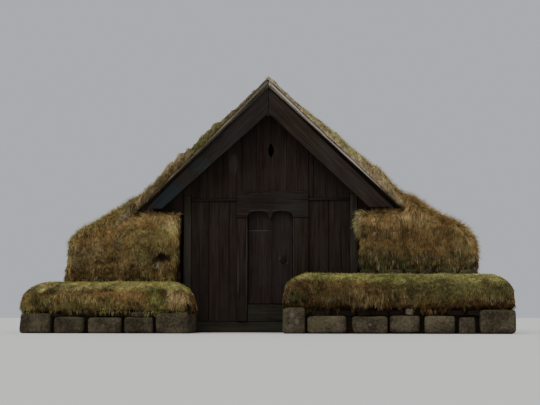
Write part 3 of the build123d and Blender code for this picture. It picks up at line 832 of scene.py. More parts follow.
# ------------------------------------------------------------------ door header with its carving
DL, DR, JL, JR = -0.385, 0.395, -0.570, 0.665
cx, spring, lobe = (DL + DR) / 2, 1.960, (DR - DL) / 2
low = [(JL, spring), (DL, spring)]
for m in (-1, 1):
    mid = cx + m * lobe / 2
    for i in range(13):
        a = math.pi - math.pi * i / 12
        x, z = mid + lobe / 2 * math.cos(a), spring + 0.112 * math.sin(a) ** 0.8
        if m < 0 and x > cx - 0.046:
            continue
        if m > 0 and x < cx + 0.046:
            continue
        low.append((x, z))
    if m < 0:
        low += [(cx - 0.046, spring + 0.046), (cx - 0.018, spring - 0.012), (cx, spring - 0.034), (cx + 0.018, spring - 0.012), (cx + 0.046, spring + 0.046)]
low += [(DR, spring), (JR, spring)]
up = []
HUMPS = [(-0.26, 0.10, 0.030), (-0.05, 0.11, 0.036), (0.16, 0.10, 0.036), (0.36, 0.10, 0.026)]
for i in range(41):
    x = JR + (JL - JR) * i / 40
    z = 2.352
    for hx, hw, hh in HUMPS:
        d = abs(x - hx) / hw
        if d < 1:
            z += hh * math.sqrt(1 - d * d)
    up.append((x, z))
outline = []
for q in low + up:
    if not outline or math.dist(q, outline[-1]) > 1e-5:
        outline.append(q)
g = Gather()
bm = plank_prism(outline, F - 0.050, F + 0.018, 0.009, 4, 0.002, 0)
bmesh.ops.triangulate(bm, faces=[f for f in bm.faces if len(f.verts) > 8])
g.add_bm(bm, 0.45)
bm.free()
# backing up to the gable boards
bm = plank_prism([(JL, 2.30), (JR, 2.30), (JR, 2.42), (JL, 2.42)], F - 0.012, F + 0.018, 0.006, 9, 0.002, 0)
g.add_bm(bm, 0.2)
bm.free()
put("door_header_board", g.mesh("door_header_board"), M["header"], "house", "door_header")

# ------------------------------------------------------------------ door
LX0, LX1, LZ0, LZ1 = DL + 0.008, DR - 0.008, 0.488, 2.110
g = Gather()
seams = [LX0, -0.13, 0.12, LX1]
for k in range(3):
    bm = plank_prism([(seams[k] + 0.001, LZ0), (seams[k + 1] - 0.001, LZ0), (seams[k + 1] - 0.001, LZ1), (seams[k] + 0.001, LZ1)],
                     F + 0.045, F + 0.085, 0.004, 90 + k, 0)
    g.add_bm(bm, (0.3, 0.8, 0.5)[k])
    bm.free()
put("door_boards", g.mesh("door_boards"), M["door"], "door", "door_leaf")
g = Gather()
for poly, tone in (([(LX0, LZ0), (0.028, LZ0), (0.028, 1.745), (LX0, 1.745)], 0.75),
                   ([(0.036, LZ0), (LX1, LZ0), (LX1, LZ1), (0.036, LZ1)], 0.30)):
    bm = plank_prism(poly, F + 0.030, F + 0.045, 0.004, 95, 0.0)
    g.add_bm(bm, tone)
    bm.free()
put("door_face_boards", g.mesh("door_face_boards"), M["door"], "door", "door_face_planks")
hewn("door_ledge_timbers", "door_ledges", X, M["inx"], 0.005, 0.2, 0.001, 0.3, 31, body="door", fine=0)
for node in ("door_ring", "hinge_straps", "hinge_pins"):
    me = NODES[node].data
    me.materials.clear()
    me.materials.append(M["iron"])


# ------------------------------------------------------------------ stones
def stone_template(n, blend):
    """A block from -1 to 1 with n by n faces a side, rounded by blend."""
    pts, quads, index = [], [], {}

    def vid(p):
        key = tuple(round(c, 6) for c in p)
        if key not in index:
            index[key] = len(pts)
            pts.append(p)
        return index[key]

    lin = [math.sin(math.pi / 2 * t) * 0.35 + t * 0.65 for t in np.linspace(-1, 1, n + 1)]
    for axis in range(3):
        for s in (-1, 1):
            for i in range(n):
                for j in range(n):
                    q = []
                    for a, b in ((i, j), (i + 1, j), (i + 1, j + 1), (i, j + 1)):
                        p = [0, 0, 0]
                        p[axis] = s
                        p[(axis + 1) % 3] = lin[a]
                        p[(axis + 2) % 3] = lin[b]
                        q.append(vid(tuple(p)))
                    quads.append(q if s > 0 else q[::-1])
    p = np.array(pts, float)
    k = 11.0 - 8.0 * blend
    r = (np.abs(p) ** k).sum(1) ** (1 / k)
    return p / r[:, None] * (1 + 0.04 * blend), np.array(quads)


TEMPLATE = {}


def add_stone(g, lo, hi, seed, tone, blend=0.35, n=6, rough=0.10, chips=6, deep=0.80):
    """A field stone that fills the box lo..hi: rounded a little, with broken corners."""
    if (n, blend) not in TEMPLATE:
        TEMPLATE[(n, blend)] = stone_template(n, blend)
    p, quads = TEMPLATE[(n, blend)]
    lo, hi = np.array(lo, float), np.array(hi, float)
    mid, half = (lo + hi) / 2, (hi - lo) / 2
    small = half.min()
    rng = np.random.default_rng(seed)
    q = p * half
    for _ in range(chips):
        m = rng.normal(0, 1, 3) * [1.0, 0.7, 1.2]
        m = m / np.linalg.norm(m)
        reach = (np.abs(m) * half).sum() * rng.uniform(deep, deep + 0.16)
        q = q - np.maximum(q @ m - reach, 0)[:, None] * m
    d = fbm(q + seed * 7.31, small * 2.0, 3, seed % 97) * rough * small * 1.8
    q = q + unit(p) * (d - rough * small * 0.6)[:, None]
    q = np.clip(q, -half, half) + mid
    g.add(q, quads.ravel(), np.full(len(quads), 4), tone)


def course(rng, a, b, mean, spread=0.35):
    """Cuts a run into stones of uneven length."""
    xs = [a]
    while xs[-1] < b:
        xs.append(xs[-1] + mean * rng.uniform(1 - spread, 1 + spread))
    xs = np.array(xs)
    return a + (xs - a) * (b - a) / (xs[-1] - a)


def earth_core(name, lo, hi):
    """The packed earth between and behind the stones."""
    pts, quads = stone_template(8, 0.0)
    lo, hi = np.array(lo), np.array(hi)
    flat_ = pts / np.abs(pts).max(1, keepdims=True)
    q = flat_ * (hi - lo) / 2 + (hi + lo) / 2
    q = q + unit(flat_) * (0.010 * vnoise(q * 9, 51))[:, None]
    q[:, 2] = np.maximum(q[:, 2], 0.0)
    cg = Gather()
    cg.add(q, quads.ravel(), np.full(len(quads), 4), 0)
    return cg


GAP = 0.014
# yard walls: a course of large flat-faced blocks, then small stones set back under the turf
YARD = {"left": (-4.0, -1.20, 0.35), "right": (0.31, 4.0, 0.40)}
YF, YB = F - 1.22, F - 0.35
MAIN = {
    "right": [(0.31, 0.68, 0.0, 0.425, 0.50), (0.705, 1.335, 0.012, 0.288, 0.52), (1.425, 1.990, 0.012, 0.282, 0.46),
              (2.022, 2.500, 0.020, 0.290, 0.42), (2.570, 3.05, 0.0, 0.285, 0.50), (3.11, 3.37, 0.0, 0.270, 0.40),
              (3.43, 4.0, 0.0, 0.385, 0.36)],
    "left": [(-1.745, -1.20, 0.0, 0.335, 0.36), (-2.255, -1.785, 0.0, 0.268, 0.22), (-2.86, -2.305, 0.0, 0.262, 0.34),
             (-3.42, -2.92, 0.0, 0.270, 0.20), (-4.0, -3.48, 0.0, 0.335, 0.32)],
}
for side in ("left", "right"):
    x0, x1, top_z = YARD[side]
    g = Gather()
    rng = np.random.default_rng(100 + len(side))
    for k, (a, b, z0, z1, tone) in enumerate(MAIN[side]):
        add_stone(g, (a, YF, z0), (b, YF + (0.45 if z1 > 0.3 else 0.36), z1), 310 + k + 40 * (side == "left"), tone,
                  0.22 if z1 > 0.3 else 0.34, 10, 0.06, 7, 0.84)
    # small flat stones in the shadow between the blocks and the turf, coloured as the dark earth: painted shade
    dark = earth_core("core", (x0 + 0.05, YF + 0.13, 0.0), (x1 - 0.05, YB - 0.05, top_z + 0.07))
    ups = course(rng, x0 + 0.46, x1 - 0.46, 0.30)
    base = 0.275 if side == "right" else 0.262
    for k in range(len(ups) - 1):
        back = YF + rng.uniform(0.055, 0.11)
        add_stone(dark, (ups[k] + 0.006, back, base), (ups[k + 1] - 0.006, back + 0.28, top_z - 0.004 - rng.uniform(0, 0.03)), 400 + k,
                  0.0, 0.4, 5, 0.14)
    if side == "right":
        add_stone(g, (2.270, YF + 0.01, 0.300), (2.400, YF + 0.16, 0.398), 431, 0.95, 0.5, 5, 0.12)
    else:
        add_stone(g, (-2.16, YF + 0.02, 0.268), (-1.86, YF + 0.22, 0.345), 433, 0.35, 0.5, 5, 0.12)
    # the two ends
    for xe, d in ((x0, 1), (x1, -1)):
        ys = course(rng, YF + 0.455, YB, 0.40, 0.2)
        for k in range(len(ys) - 1):
            a, b = sorted((xe, xe + d * 0.34))
            add_stone(g, (a, ys[k] + GAP / 2, 0.0), (b, ys[k + 1] - GAP / 2, top_z - rng.uniform(0.004, 0.03)), 450 + k, rng.uniform(0.25, 0.6),
                      0.26, 7, 0.08)
    # behind, where the side wall doesn't reach
    ax, bx = (-1.52, x1 - 0.36) if side == "left" else (x0 + 0.36, 1.52)
    if bx - ax > 0.15:
        xs = course(rng, ax, bx, 0.45, 0.2)
        for k in range(len(xs) - 1):
            add_stone(g, (xs[k] + GAP / 2, YB - 0.32, 0.0), (xs[k + 1] - GAP / 2, YB, top_z - 0.01), 480 + k, rng.uniform(0.25, 0.6), 0.3, 6, 0.08)
    me = g.mesh(f"yard_stones_{side}", True, 50)
    put(f"yard_stones_{side}", me, M["stone"], "house", f"yard_wall_stones_{side}")
    put(f"yard_core_{side}", dark.mesh(f"yard_core_{side}"), M["soil"], "house")

# footings of the side walls: uneven courses of smaller stones that lean back
for side in ("left", "right"):
    s = -1 if side == "left" else 1
    h = 1.05 if side == "left" else 1.27
    g = Gather()
    rng = np.random.default_rng(200 + len(side))
    zs = course(rng, 0.0, h, 0.24, 0.22)
    front, back = F - 0.35, R + 0.35
    seed = 1000 * (1 + (s > 0))
    for r in range(len(zs) - 1):
        z0, z1 = zs[r], zs[r + 1]
        out0 = 3.60 - 0.14 * z0 / h - 0.01
        for y_face, d in ((front, 1), (back, -1)):
            xs = course(rng, 1.52, out0, 0.38, 0.42)
            for k in range(len(xs) - 1):
                inset = rng.uniform(0, 0.055) + (0.060 if y_face < 0 and r == len(zs) - 2 else 0)
                a, b = sorted((y_face + d * inset, y_face + d * rng.uniform(0.36, 0.44)))
                xa, xb = sorted((s * (xs[k] + GAP / 2), s * (xs[k + 1] - GAP / 2)))
                seed += 1
                add_stone(g, (xa, a, z0 + rng.uniform(0.0, 0.012)), (xb, b, z1 - rng.uniform(0.004, 0.035)), seed, rng.uniform(0.0, 0.62) ** 1.3,
                          0.45, 5, 0.14, 7, 0.72)
        ys = course(rng, front + 0.42, back - 0.42, 0.42, 0.4)
        for k in range(len(ys) - 1):
            inset = rng.uniform(0, 0.05)
            xa, xb = sorted((s * (out0 - inset), s * (out0 - 0.34)))
            seed += 1
            add_stone(g, (xa, ys[k] + GAP / 2, z0 + rng.uniform(0.0, 0.012)), (xb, ys[k + 1] - GAP / 2, z1 - rng.uniform(0.004, 0.03)), seed,
                      rng.uniform(0.0, 0.62) ** 1.3, 0.45, 4, 0.14, 7, 0.72)
    put(f"footing_stones_{side}", g.mesh(f"footing_stones_{side}", True, 50), M["mossy stone"], "house", f"stone_footing_{side}")
    core_g = earth_core("core", (1.535 if s > 0 else -3.40, front + 0.09, 0.0), (3.40 if s > 0 else -1.535, back - 0.09, h + 0.07))
    put(f"footing_core_{side}", core_g.mesh(f"footing_core_{side}"), M["soil"], "house")


# ------------------------------------------------------------------ turf
def remeshed(me, voxel):
    """The closed parts of a mesh as one skin of even small faces."""
    ob = bpy.data.objects.new("tmp", me)
    bpy.context.scene.collection.objects.link(ob)
    mod = ob.modifiers.new("r", "REMESH")
    mod.mode = "VOXEL"
    mod.voxel_size = voxel
    mod.adaptivity = 0
    dg = bpy.context.evaluated_depsgraph_get()
    out = bpy.data.meshes.new_from_object(ob.evaluated_get(dg))
    bpy.data.objects.remove(ob)
    return out


def smooth_mesh(v, t, rounds, amount=0.5):
    e = np.concatenate([t[:, [0, 1]], t[:, [1, 2]], t[:, [2, 0]]])
    e = np.unique(np.sort(e, 1), axis=0)
    deg = np.bincount(e.ravel(), minlength=len(v)).astype(float)
    for _ in range(rounds):
        acc = np.zeros_like(v)
        for k in range(3):
            acc[:, k] = np.bincount(e[:, 0], v[e[:, 1], k], len(v)) + np.bincount(e[:, 1], v[e[:, 0], k], len(v))
        v = v + amount * (acc / deg[:, None] - v)
    return v


def normals_of(v, t):
    fn = np.cross(v[t[:, 1]] - v[t[:, 0]], v[t[:, 2]] - v[t[:, 0]])
    vn = np.zeros_like(v)
    for k in range(3):
        for c in range(3):
            vn[:, c] += np.bincount(t[:, k], fn[:, c], len(v))
    return unit(vn)


FOOT = {"left": 1.05, "right": 1.27}
FOOT_FRONT = {"left": 0.87, "right": 1.06}
EDGE = [(3.468, 1.44), (3.430, 1.585), (3.310, 1.735), (3.105, 1.832), (2.893, 1.930), (2.645, 2.090), (2.392, 2.230)]
OUT_X = [0, 0.395, 0.895, 1.395, 1.895, 2.145] + [q[0] for q in EDGE[::-1]] + [3.47]
OUT_Z = [4.25, 3.965, 3.520, 3.080, 2.640, 2.390] + [q[1] for q in EDGE[::-1]] + [1.05]


def under(p):
    """How far a point lies below the outline of the turf."""
    return np.interp(np.abs(p[:, 0]), OUT_X, OUT_Z) - p[:, 2]


def blob(p, cx, cz, rx, rz, power=1.5):
    return np.exp(-((((p[:, 0] - cx) / rx) ** 2 + ((p[:, 2] - cz) / rz) ** 2) ** power))


def hollow(p, cx, cz, rx, rz):
    """A blob with a ragged edge."""
    q = p + 0.045 * np.stack([vnoise(p * 9 + 3, 151), 0 * p[:, 0], 0.6 * vnoise(p * 9 + 8, 152)], 1)
    return blob(q, cx, cz, rx, rz, 1.2)


def choose(w, r, a, b):
    """b with the chance w, else a. r is an even random number for each clump."""
    return np.where(r < w, b, a)


def sod_mass(side):
    """Side wall and roof turf as they have grown together."""
    s = -1 if side == "left" else 1
    h = FOOT[side]
    foot = [(1.540, h - 0.01), (3.480, h - 0.01)]
    # in front the turf has slid down over the top stones
    slid = [(1.540, FOOT_FRONT[side]), (3.505, FOOT_FRONT[side]), (3.488, h)]
    crown = EDGE + [(2.31, 2.275), (2.31, 2.015), (1.540, 2.015)]
    ends, rear = slid + crown, foot + crown
    run = foot + EDGE + [(2.145, 2.390), (1.895, 2.640), (1.395, 3.080), (0.895, 3.520), (0.395, 3.965), (-0.02, 4.245),
                         (-0.02, 4.125), (2.10, 2.050), (2.10, 2.000), (1.540, 2.000)]
    bm = bmesh.new()
    for poly, y0, y1 in ((ends, F - 0.338, F - 0.10), (run, F - 0.142, R + 0.142), (rear, R + 0.10, R + 0.338)):
        part = plank_prism([(s * x, z) for x, z in poly], y0, y1, 0, 0, 0, 0)
        bmesh.ops.triangulate(part, faces=part.faces[:])
        me = bpy.data.meshes.new("part")
        part.to_mesh(me)
        part.free()
        bm.from_mesh(me)
    me = bpy.data.meshes.new("mass")
    bm.to_mesh(me)
    bm.free()
    return me


def shape_mass(v, n):
    wall = 1 - step(0.05, 0.5, n[:, 2])
    roof = np.abs(v[:, 0]) < 2.2
    lump = (0.030 + 0.012 * wall) * fbm(v, 0.45, 3, 5) - 0.012
    lump = np.where(roof & (v[:, 2] > 2.1), 0.022 * fbm(v, 0.5, 3, 8) - 0.004, lump)
    # sod courses show as shallow bands
    lump = lump + 0.008 * wall * np.sin(v[:, 2] * 2 * math.pi / 0.15 + 2.0 * vnoise(v * 1.3, 3))
    low = (n[:, 2] < -0.4) & (v[:, 2] > 2.0)
    v = v + n * np.where(low, 0, lump)[:, None]
    # sods are missing low on the left front, and a lump hangs over the inner edge on the right
    front = v[:, 1] < F - 0.15
    v[:, 1] += front * (0.100 * hollow(v, -1.815, 1.265, 0.175, 0.080) + 0.040 * hollow(v, -2.80, 1.215, 0.24, 0.050)
                        + 0.030 * hollow(v, -2.30, 1.150, 0.12, 0.040))
    v[:, 0] -= front * 0.050 * blob(v, 1.53, 1.84, 0.10, 0.20)
    v[:, 1] -= front * 0.030 * blob(v, 1.60, 1.86, 0.14, 0.20)
    return v


def shape_cap(v, n):
    up = step(0.3, 0.8, n[:, 2])
    lump = (0.034 - 0.020 * up) * fbm(v, 0.32, 3, 12) - 0.012
    v = v + n * lump[:, None]
    # the foot of the cap is drawn in over the stones
    side_front = step(0.0, 0.6, -n[:, 1])
    zs = 0.40
    low = 1 - step(zs + 0.02, zs + 0.15, v[:, 2] + 0.03 * vnoise(v * 3, 4))
    v[:, 1] += 0.070 * low * side_front
    return v


BASE = {}


def turf_base(name, me, shape, tone_of, shade_of, replaces, voxel=0.05, rounds=2, mat="thatch"):
    me = remeshed(me, voxel)
    v, t, _ = bm_arrays(me)
    v = smooth_mesh(v, t, rounds)
    v = shape(v, normals_of(v, t))
    n = normals_of(v, t)
    me.vertices.foreach_set("co", v.astype(np.float32).ravel())
    me.polygons.foreach_set("use_smooth", np.ones(len(me.polygons), bool))
    sod_colour(me, v, n, tone_of, shade_of)
    me.update()
    BASE[name] = (v, t)
    return put(name, me, M[mat], "house", replaces)


# ---- colours of the turf by place
def wall_tone(p, n, r):
    x, z = p[:, 0], p[:, 2]
    front = p[:, 1] < F - 0.05
    arc = np.hypot(x + 2.15, z - 1.40)
    comb = np.stack([arc / 0.050, p[:, 1] / 0.3, np.arctan2(z - 1.40, x + 2.15) * 1.6], 1)
    fall = p / [0.050, 0.050, 0.36]
    streak = np.where((x < 0) & (z > 1.38), vnoise(comb, 31), vnoise(fall, 32))
    t = 0.445 + 0.075 * fbm(p, 0.55, 3, 93) + 0.060 * streak
    # olive sods here and there, dark brown where the streaks run low
    t = choose(0.65 * step(0.05, 0.35, fbm(p + 5, 0.5, 3, 95)), r, t, OLIVE + 0.04 * streak)
    t = choose(0.10 + 0.25 * step(0.2, -0.5, streak), 1 - r, t, 0.17)
    # pale tips along the shoulder, partly a painted highlight where the top catches the light
    top = 1 - step(0.02, 0.24, under(p))
    t = choose(0.80 * top * (np.abs(x) > 2.1), r, t, np.where(np.mod(r * 73, 1) < 0.55, 0.425, 0.545) + 0.02 * streak)
    # towards the foot: brown roots and grey stalks
    low = 1 - step(0.0, 0.16, z - np.where(x < 0, 1.07, 1.27))
    t = choose(0.55 * low, r, t, np.where(np.mod(r * 37, 1) < 0.24, 0.12, np.where(np.mod(r * 37, 1) < 0.34, 0.64, np.where(np.mod(r * 37, 1) < 0.62, 0.88, 0.25))))
    left = front & (x < 0)
    t = np.where(left, choose(0.85 * blob(p, -2.08, 1.80, 0.17, 0.10), r, t, 0.325), t)
    t = np.where(left, choose(0.60 * blob(p, -1.73, 1.80, 0.22, 0.20), r, t, OLIVE), t)
    t = np.where(left, choose(0.55 * blob(p, -1.75, 1.98, 0.30, 0.05), r, t, 0.53), t)
    t = np.where(left, choose(0.55 * blob(p, -3.05, 1.35, 0.30, 0.18), r, t, 0.56), t)
    # painted shade: near-black tones in the hollows where sods are missing
    dark = 1.25 * hollow(p, -1.815, 1.265, 0.175, 0.090) + 0.8 * hollow(p, -2.80, 1.215, 0.26, 0.065) + 0.5 * hollow(p, -2.30, 1.150, 0.15, 0.055)
    t = np.where(left, choose(0.40 * step(-2.7, -2.1, x) * step(1.15, 1.30, z) * (1 - step(1.72, 1.90, z)), r, t, np.where(np.mod(r * 79, 1) < 0.6, 0.715, 0.78)), t)
    t = np.where(left, choose(np.clip(dark, 0, 0.95), r, t, np.where(np.mod(r * 43, 1) < 0.85, 0.05, 0.22)), t)
    right = front & (x > 0)
    t = np.where(right, choose(0.62 * step(1.78, 1.96, z + 0.04 * vnoise(p * 5, 36)), r, t, np.where(np.mod(r * 53, 1) < 0.55, 0.455, 0.555)), t)
    t = np.where(right, choose(0.55 * blob(p, 1.93, 1.74, 0.30, 0.08), r, t, np.where(np.mod(r * 59, 1) < 0.5, 0.24, 0.64)), t)
    t = np.where(right, choose(0.85 * blob(p, 1.53, 1.86, 0.12, 0.26), r, t, np.where(np.mod(r * 29, 1) < 0.45, 0.66, np.where(np.mod(r * 29, 1) < 0.8, 0.73, 0.86))), t)
    t = np.where(right, choose(0.70 * (1 - step(1.30, 1.50, z + 0.08 * vnoise(p * 4, 34))) * (1 - 0.6 * step(2.1, 2.5, x)), 1 - r, t,
                               np.where(np.mod(r * 41, 1) < 0.52, 0.955, np.where(np.mod(r * 41, 1) < 0.80, 0.07, np.where(np.mod(r * 41, 1) < 0.92, 0.645, 0.74)))), t)
    return t


# painted light and shade of the wall turf: lighter at the shoulder, near the top of the right front and along the outer
# left edge, darker further below the outline, with lighter and darker clumps
def wall_shade(p, n, r):
    x, z = p[:, 0], p[:, 2]
    k = 1.02 - 0.40 * step(0.08, 0.42, under(p))
    front = p[:, 1] < F - 0.05
    wob = z + 0.05 * vnoise(p * 3.5, 155)
    left = np.interp(wob, [0.87, 1.00, 1.12, 1.22, 1.46, 1.62, 1.85, 2.10], [0.78, 0.76, 0.62, 0.50, 0.54, 0.94, 1.09, 1.16])
    right = np.interp(wob, [1.06, 1.25, 1.34, 1.45, 1.68, 1.80, 1.96], [0.65, 0.65, 0.60, 0.58, 0.64, 0.86, 1.00])
    k = np.where(front, np.where(x < 0, left, right), k)
    k = np.where(front & (x < -3.36), 1.0, k)
    k = np.where(front & (x > 0), k + 0.30 * (1 - step(0.05, 0.30, under(p))), k)
    return k * (0.84 + 0.32 * np.mod(r * 17, 1)) * (1 + 0.30 * fbm(p + 41, 0.22, 2, 37) + 0.42 * vnoise(p * 8.5, 171))


def roof_shade(p, n, r):
    return 0.90 * (0.86 + 0.28 * np.mod(r * 17, 1)) * (1 + 0.12 * fbm(p + 41, 0.3, 2, 38))


def mass_shade(p, n, r):
    roof = (under(p) < 0.12) & (n[:, 2] > 0.30)
    return np.where(roof, roof_shade(p, n, r), wall_shade(p, n, r))


def roof_tone(p, n, r):
    x = np.abs(p[:, 0])
    t = 0.475 + 0.085 * fbm(p, 0.9, 3, 81) + 0.055 * fbm(p, 0.2, 2, 82)
    t = choose(0.80 * step(-0.05, 0.30, fbm(p + 11, 0.8, 3, 83)) * step(-0.2, 0.4, n[:, 2]), r, t, 0.735 + 0.06 * vnoise(p * 5, 84))
    t = choose(0.10, 1 - r, t, 0.20)
    # on the right the grass by the verge is greener high up and straw further down
    near = 1 - step(-0.05, 0.38, p[:, 1] - F + 0.34 * vnoise(p * 2.3, 162) + 0.14 * vnoise(p * 6.1, 163))
    right = p[:, 0] > 0
    low = step(1.40, 1.75, x + 0.2 * vnoise(p * 2.9, 164))
    t = np.where(right, choose(0.62 * near * (1 - low), r, t, 0.79), t)
    t = np.where(right, choose(0.70 * near * low, r, t, 0.485), t)
    return t


def mass_tone(p, n, r):
    roof = (under(p) < 0.12) & (n[:, 2] > 0.30)
    return np.where(roof, roof_tone(p, n, r), wall_tone(p, n, r))


def cap_tone(p, n, r):
    x, z = p[:, 0], p[:, 2]
    right = x > 0
    crown = np.where(right, 0.965, 0.84)
    d = crown - z                         # depth below the crown
    streak = vnoise(p / [0.045, 0.045, 0.30], 41)
    big = fbm(p + 3, 0.5, 3, 115)
    # yellow-green crown
    top = 0.775 + 0.030 * big + 0.02 * streak
    top = choose(0.45 * step(0.0, 0.35, big), r, top, 0.57)
    top = choose(0.10, 1 - r, top, 0.87)
    # hanging sides
    side = 0.345 + 0.07 * big + 0.07 * streak
    side = choose(0.22 + 0.3 * step(0.1, -0.5, streak), 1 - r, side, 0.15)
    side = choose(0.30 * step(0.05, 0.4, fbm(p + 29, 0.4, 2, 117)), r, side, OLIVE)
    side = choose(0.20 * right * step(0.45, 0.60, z), np.mod(r * 91, 1), side, OLIVE + 0.02)
    w = 1 - step(0.10, 0.22, d + 0.05 * vnoise(p * 6, 43))
    t = choose(w, r, side, top)
    front = p[:, 1] < F - 0.95
    a = front & right
    t = np.where(a, choose(0.75 * blob(p, 1.15, 0.80, 0.62, 0.055), r, t, 0.435), t)
    t = np.where(a, choose(0.60 * blob(p, 1.68, 0.58, 0.30, 0.17), r, t, 0.53 + 0.05 * streak), t)
    t = np.where(a, choose(0.70 * hollow(p, 1.98, 0.86, 0.14, 0.10), r, t, 0.865), t)
    edge = x + 0.22 * vnoise(p * 2.6, 156)
    t = np.where(a, choose(0.60 * step(1.65, 2.55, edge) * step(0.44, 0.66, z + 0.04 * vnoise(p * 5, 160)), r, t, np.where(np.mod(r * 61, 1) < 0.72, 0.710 + 0.02 * big, 0.85)), t)
    t = np.where(a, choose(0.85 * blob(p, 0.52, 0.56, 0.22, 0.15), r, t, np.where(np.mod(r * 31, 1) < 0.45, 0.96, np.where(np.mod(r * 31, 1) < 0.75, 0.09, np.where(np.mod(r * 31, 1) < 0.88, 0.60, 0.72)))), t)
    # painted shade under the overhang on the right front, below z 0.5
    t = np.where(a & (x < 1.40), choose(0.85 * (1 - step(0.47, 0.55, z)), r, t, np.where(np.mod(r * 83, 1) < 0.62, 0.165, np.where(np.mod(r * 83, 1) < 0.86, 0.94, 0.28))), t)
    b = front & ~right
    t = np.where(b, choose(0.28, r, t, np.where(d < 0.16, 0.60, 0.52)), t)
    t = np.where(b, choose(0.45 * step(0.16, 0.26, d), r, t, np.where(np.mod(r * 67, 1) < 0.65, 0.72, 0.86)), t)
    t = np.where(b, choose(0.50 * hollow(p, -1.66, 0.55, 0.18, 0.12), 1 - r, t, 0.93), t)
    t = np.where(b, choose(0.50 * hollow(p, -2.65, 0.66, 0.22, 0.07), r, t, 0.45), t)
    t = np.where(b, choose(0.80 * blob(p, -2.12, 0.64, 0.28, 0.085), r, t, 0.43), t)
    t = np.where(b, choose(0.60 * hollow(p, -1.73, 0.68, 0.15, 0.09), r, t, 0.90), t)
    t = np.where(b, choose(0.60 * hollow(p, -1.60, 0.64, 0.10, 0.08), r, t, 0.13), t)
    t = np.where(b, choose(0.80 * blob(p, -1.36, 0.57, 0.18, 0.11), r, t, 0.55), t)
    t = np.where(b, choose(0.95 * blob(p, -1.19, 0.43, 0.06, 0.08), r, t, 0.05), t)
    # painted shade at the foot of the cap, under its overhang
    low = 1 - step(0.02, 0.09, z - np.where(right, 0.40, 0.35))
    t = choose(0.55 * low, 1 - r, t, 0.07)
    return t


# painted light and shade of the yard wall turf: a lit crown and shaded hanging sides, less shaded low on the right
def cap_shade(p, n, r):
    x, z = p[:, 0], p[:, 2]
    d = np.where(x > 0, 0.965, 0.84) - z
    w = step(0.05, 0.22, d + 0.04 * vnoise(p * 4, 157))
    right = 0.84 * (1 - w) + 0.385 * w + 0.06 * w * step(1.8, 2.6, x) + 0.12 * w * blob(p, 1.68, 0.55, 0.32, 0.18)
    right = np.where(z < 0.50, np.maximum(right, 0.60), right)
    k = np.where(x > 0, right, 0.90 * (1 - w) + 0.90 * w)
    return k * (0.82 + 0.36 * np.mod(r * 19, 1)) * (1 + 0.28 * fbm(p + 43, 0.2, 2, 39) + 0.42 * vnoise(p * 8.5, 172))


# moss and thatch that have grown over the verge timbers: height over the timber and how far they hang down on it
GROWN = {"left": ([0.0, 0.09, 0.16, 0.30, 0.50, 0.75, 0.95, 1.20, 1.45, 1.80, 2.10, 2.27],
                  [0.056, 0.050, 0.040, 0.052, 0.072, 0.110, 0.145, 0.180, 0.195, 0.198, 0.190, 0.120]),
         "right": ([0.0, 0.09, 0.30, 0.60, 0.90, 1.20, 1.50, 1.80, 1.95, 2.10, 2.27],
                   [0.056, 0.064, 0.070, 0.090, 0.145, 0.175, 0.195, 0.235, 0.260, 0.225, 0.130])}
HANG = {"left": ([0.0, 0.30, 0.45, 1.0, 1.6, 2.27], [0.004, 0.004, 0.020, 0.026, 0.030, 0.026]),
        "right": ([0.0, 1.60, 1.80, 2.27], [0.003, 0.003, 0.004, 0.006])}


def above_verge(p):
    """Height over the verge line, and the same as a part of the crust's own height."""
    ax = np.abs(p[:, 0])
    up = p[:, 2] + SLOPE * ax - 4.30
    top = np.where(p[:, 0] < 0, np.interp(ax, *GROWN["left"]), np.interp(ax, *GROWN["right"]))
    return up, up / np.maximum(top, 0.03)


def behind_verge(p):
    """Distance back from the outer face of the verge."""
    return np.minimum(p[:, 1] - F, R - p[:, 1]) + 0.35


# painted light and shade of the verge moss: a lit rim along its top and a shaded body below it
def crust_shade(p, n, r):
    ax = np.abs(p[:, 0])
    up, part = above_verge(p)
    rim = np.where(p[:, 0] < 0, step(0.62, 1.0, part), step(0.22, 0.50, part))
    left = (0.36 + 0.07 * fbm(p + 17, 0.2, 2, 158)) * (1 - rim) + np.interp(ax, [0, 0.5, 1.1], [0.34, 0.44, 0.66]) * rim
    right = np.interp(ax, [0, 0.3, 0.9, 1.6, 1.95, 2.2], [0.70, 0.66, 0.62, 0.64, 0.58, 0.48]) * (1 - rim) + (0.57 + 0.15 * step(0.5, 1.0, part) + 0.05 * step(1.5, 1.9, ax)) * rim
    k = np.where(p[:, 0] < 0, left, right) * (0.80 + 0.40 * np.mod(r * 23, 1)) * (1 + 0.34 * vnoise(p * 8.5, 173))
    w = step(0.12, 0.22, behind_verge(p))
    return k * (1 - w) + roof_shade(p, n, r) * w


for side in ("left", "right"):
    turf_base(f"turf_{side}", sod_mass(side), shape_mass, mass_tone, mass_shade, (f"turf_wall_{side}", f"roof_turf_{side}"), 0.052, 2)
    turf_base(f"yard_sod_{side}", NODES[f"yard_wall_turf_{side}"].data.copy(), shape_cap, cap_tone, cap_shade, f"yard_wall_turf_{side}", 0.045, 2)


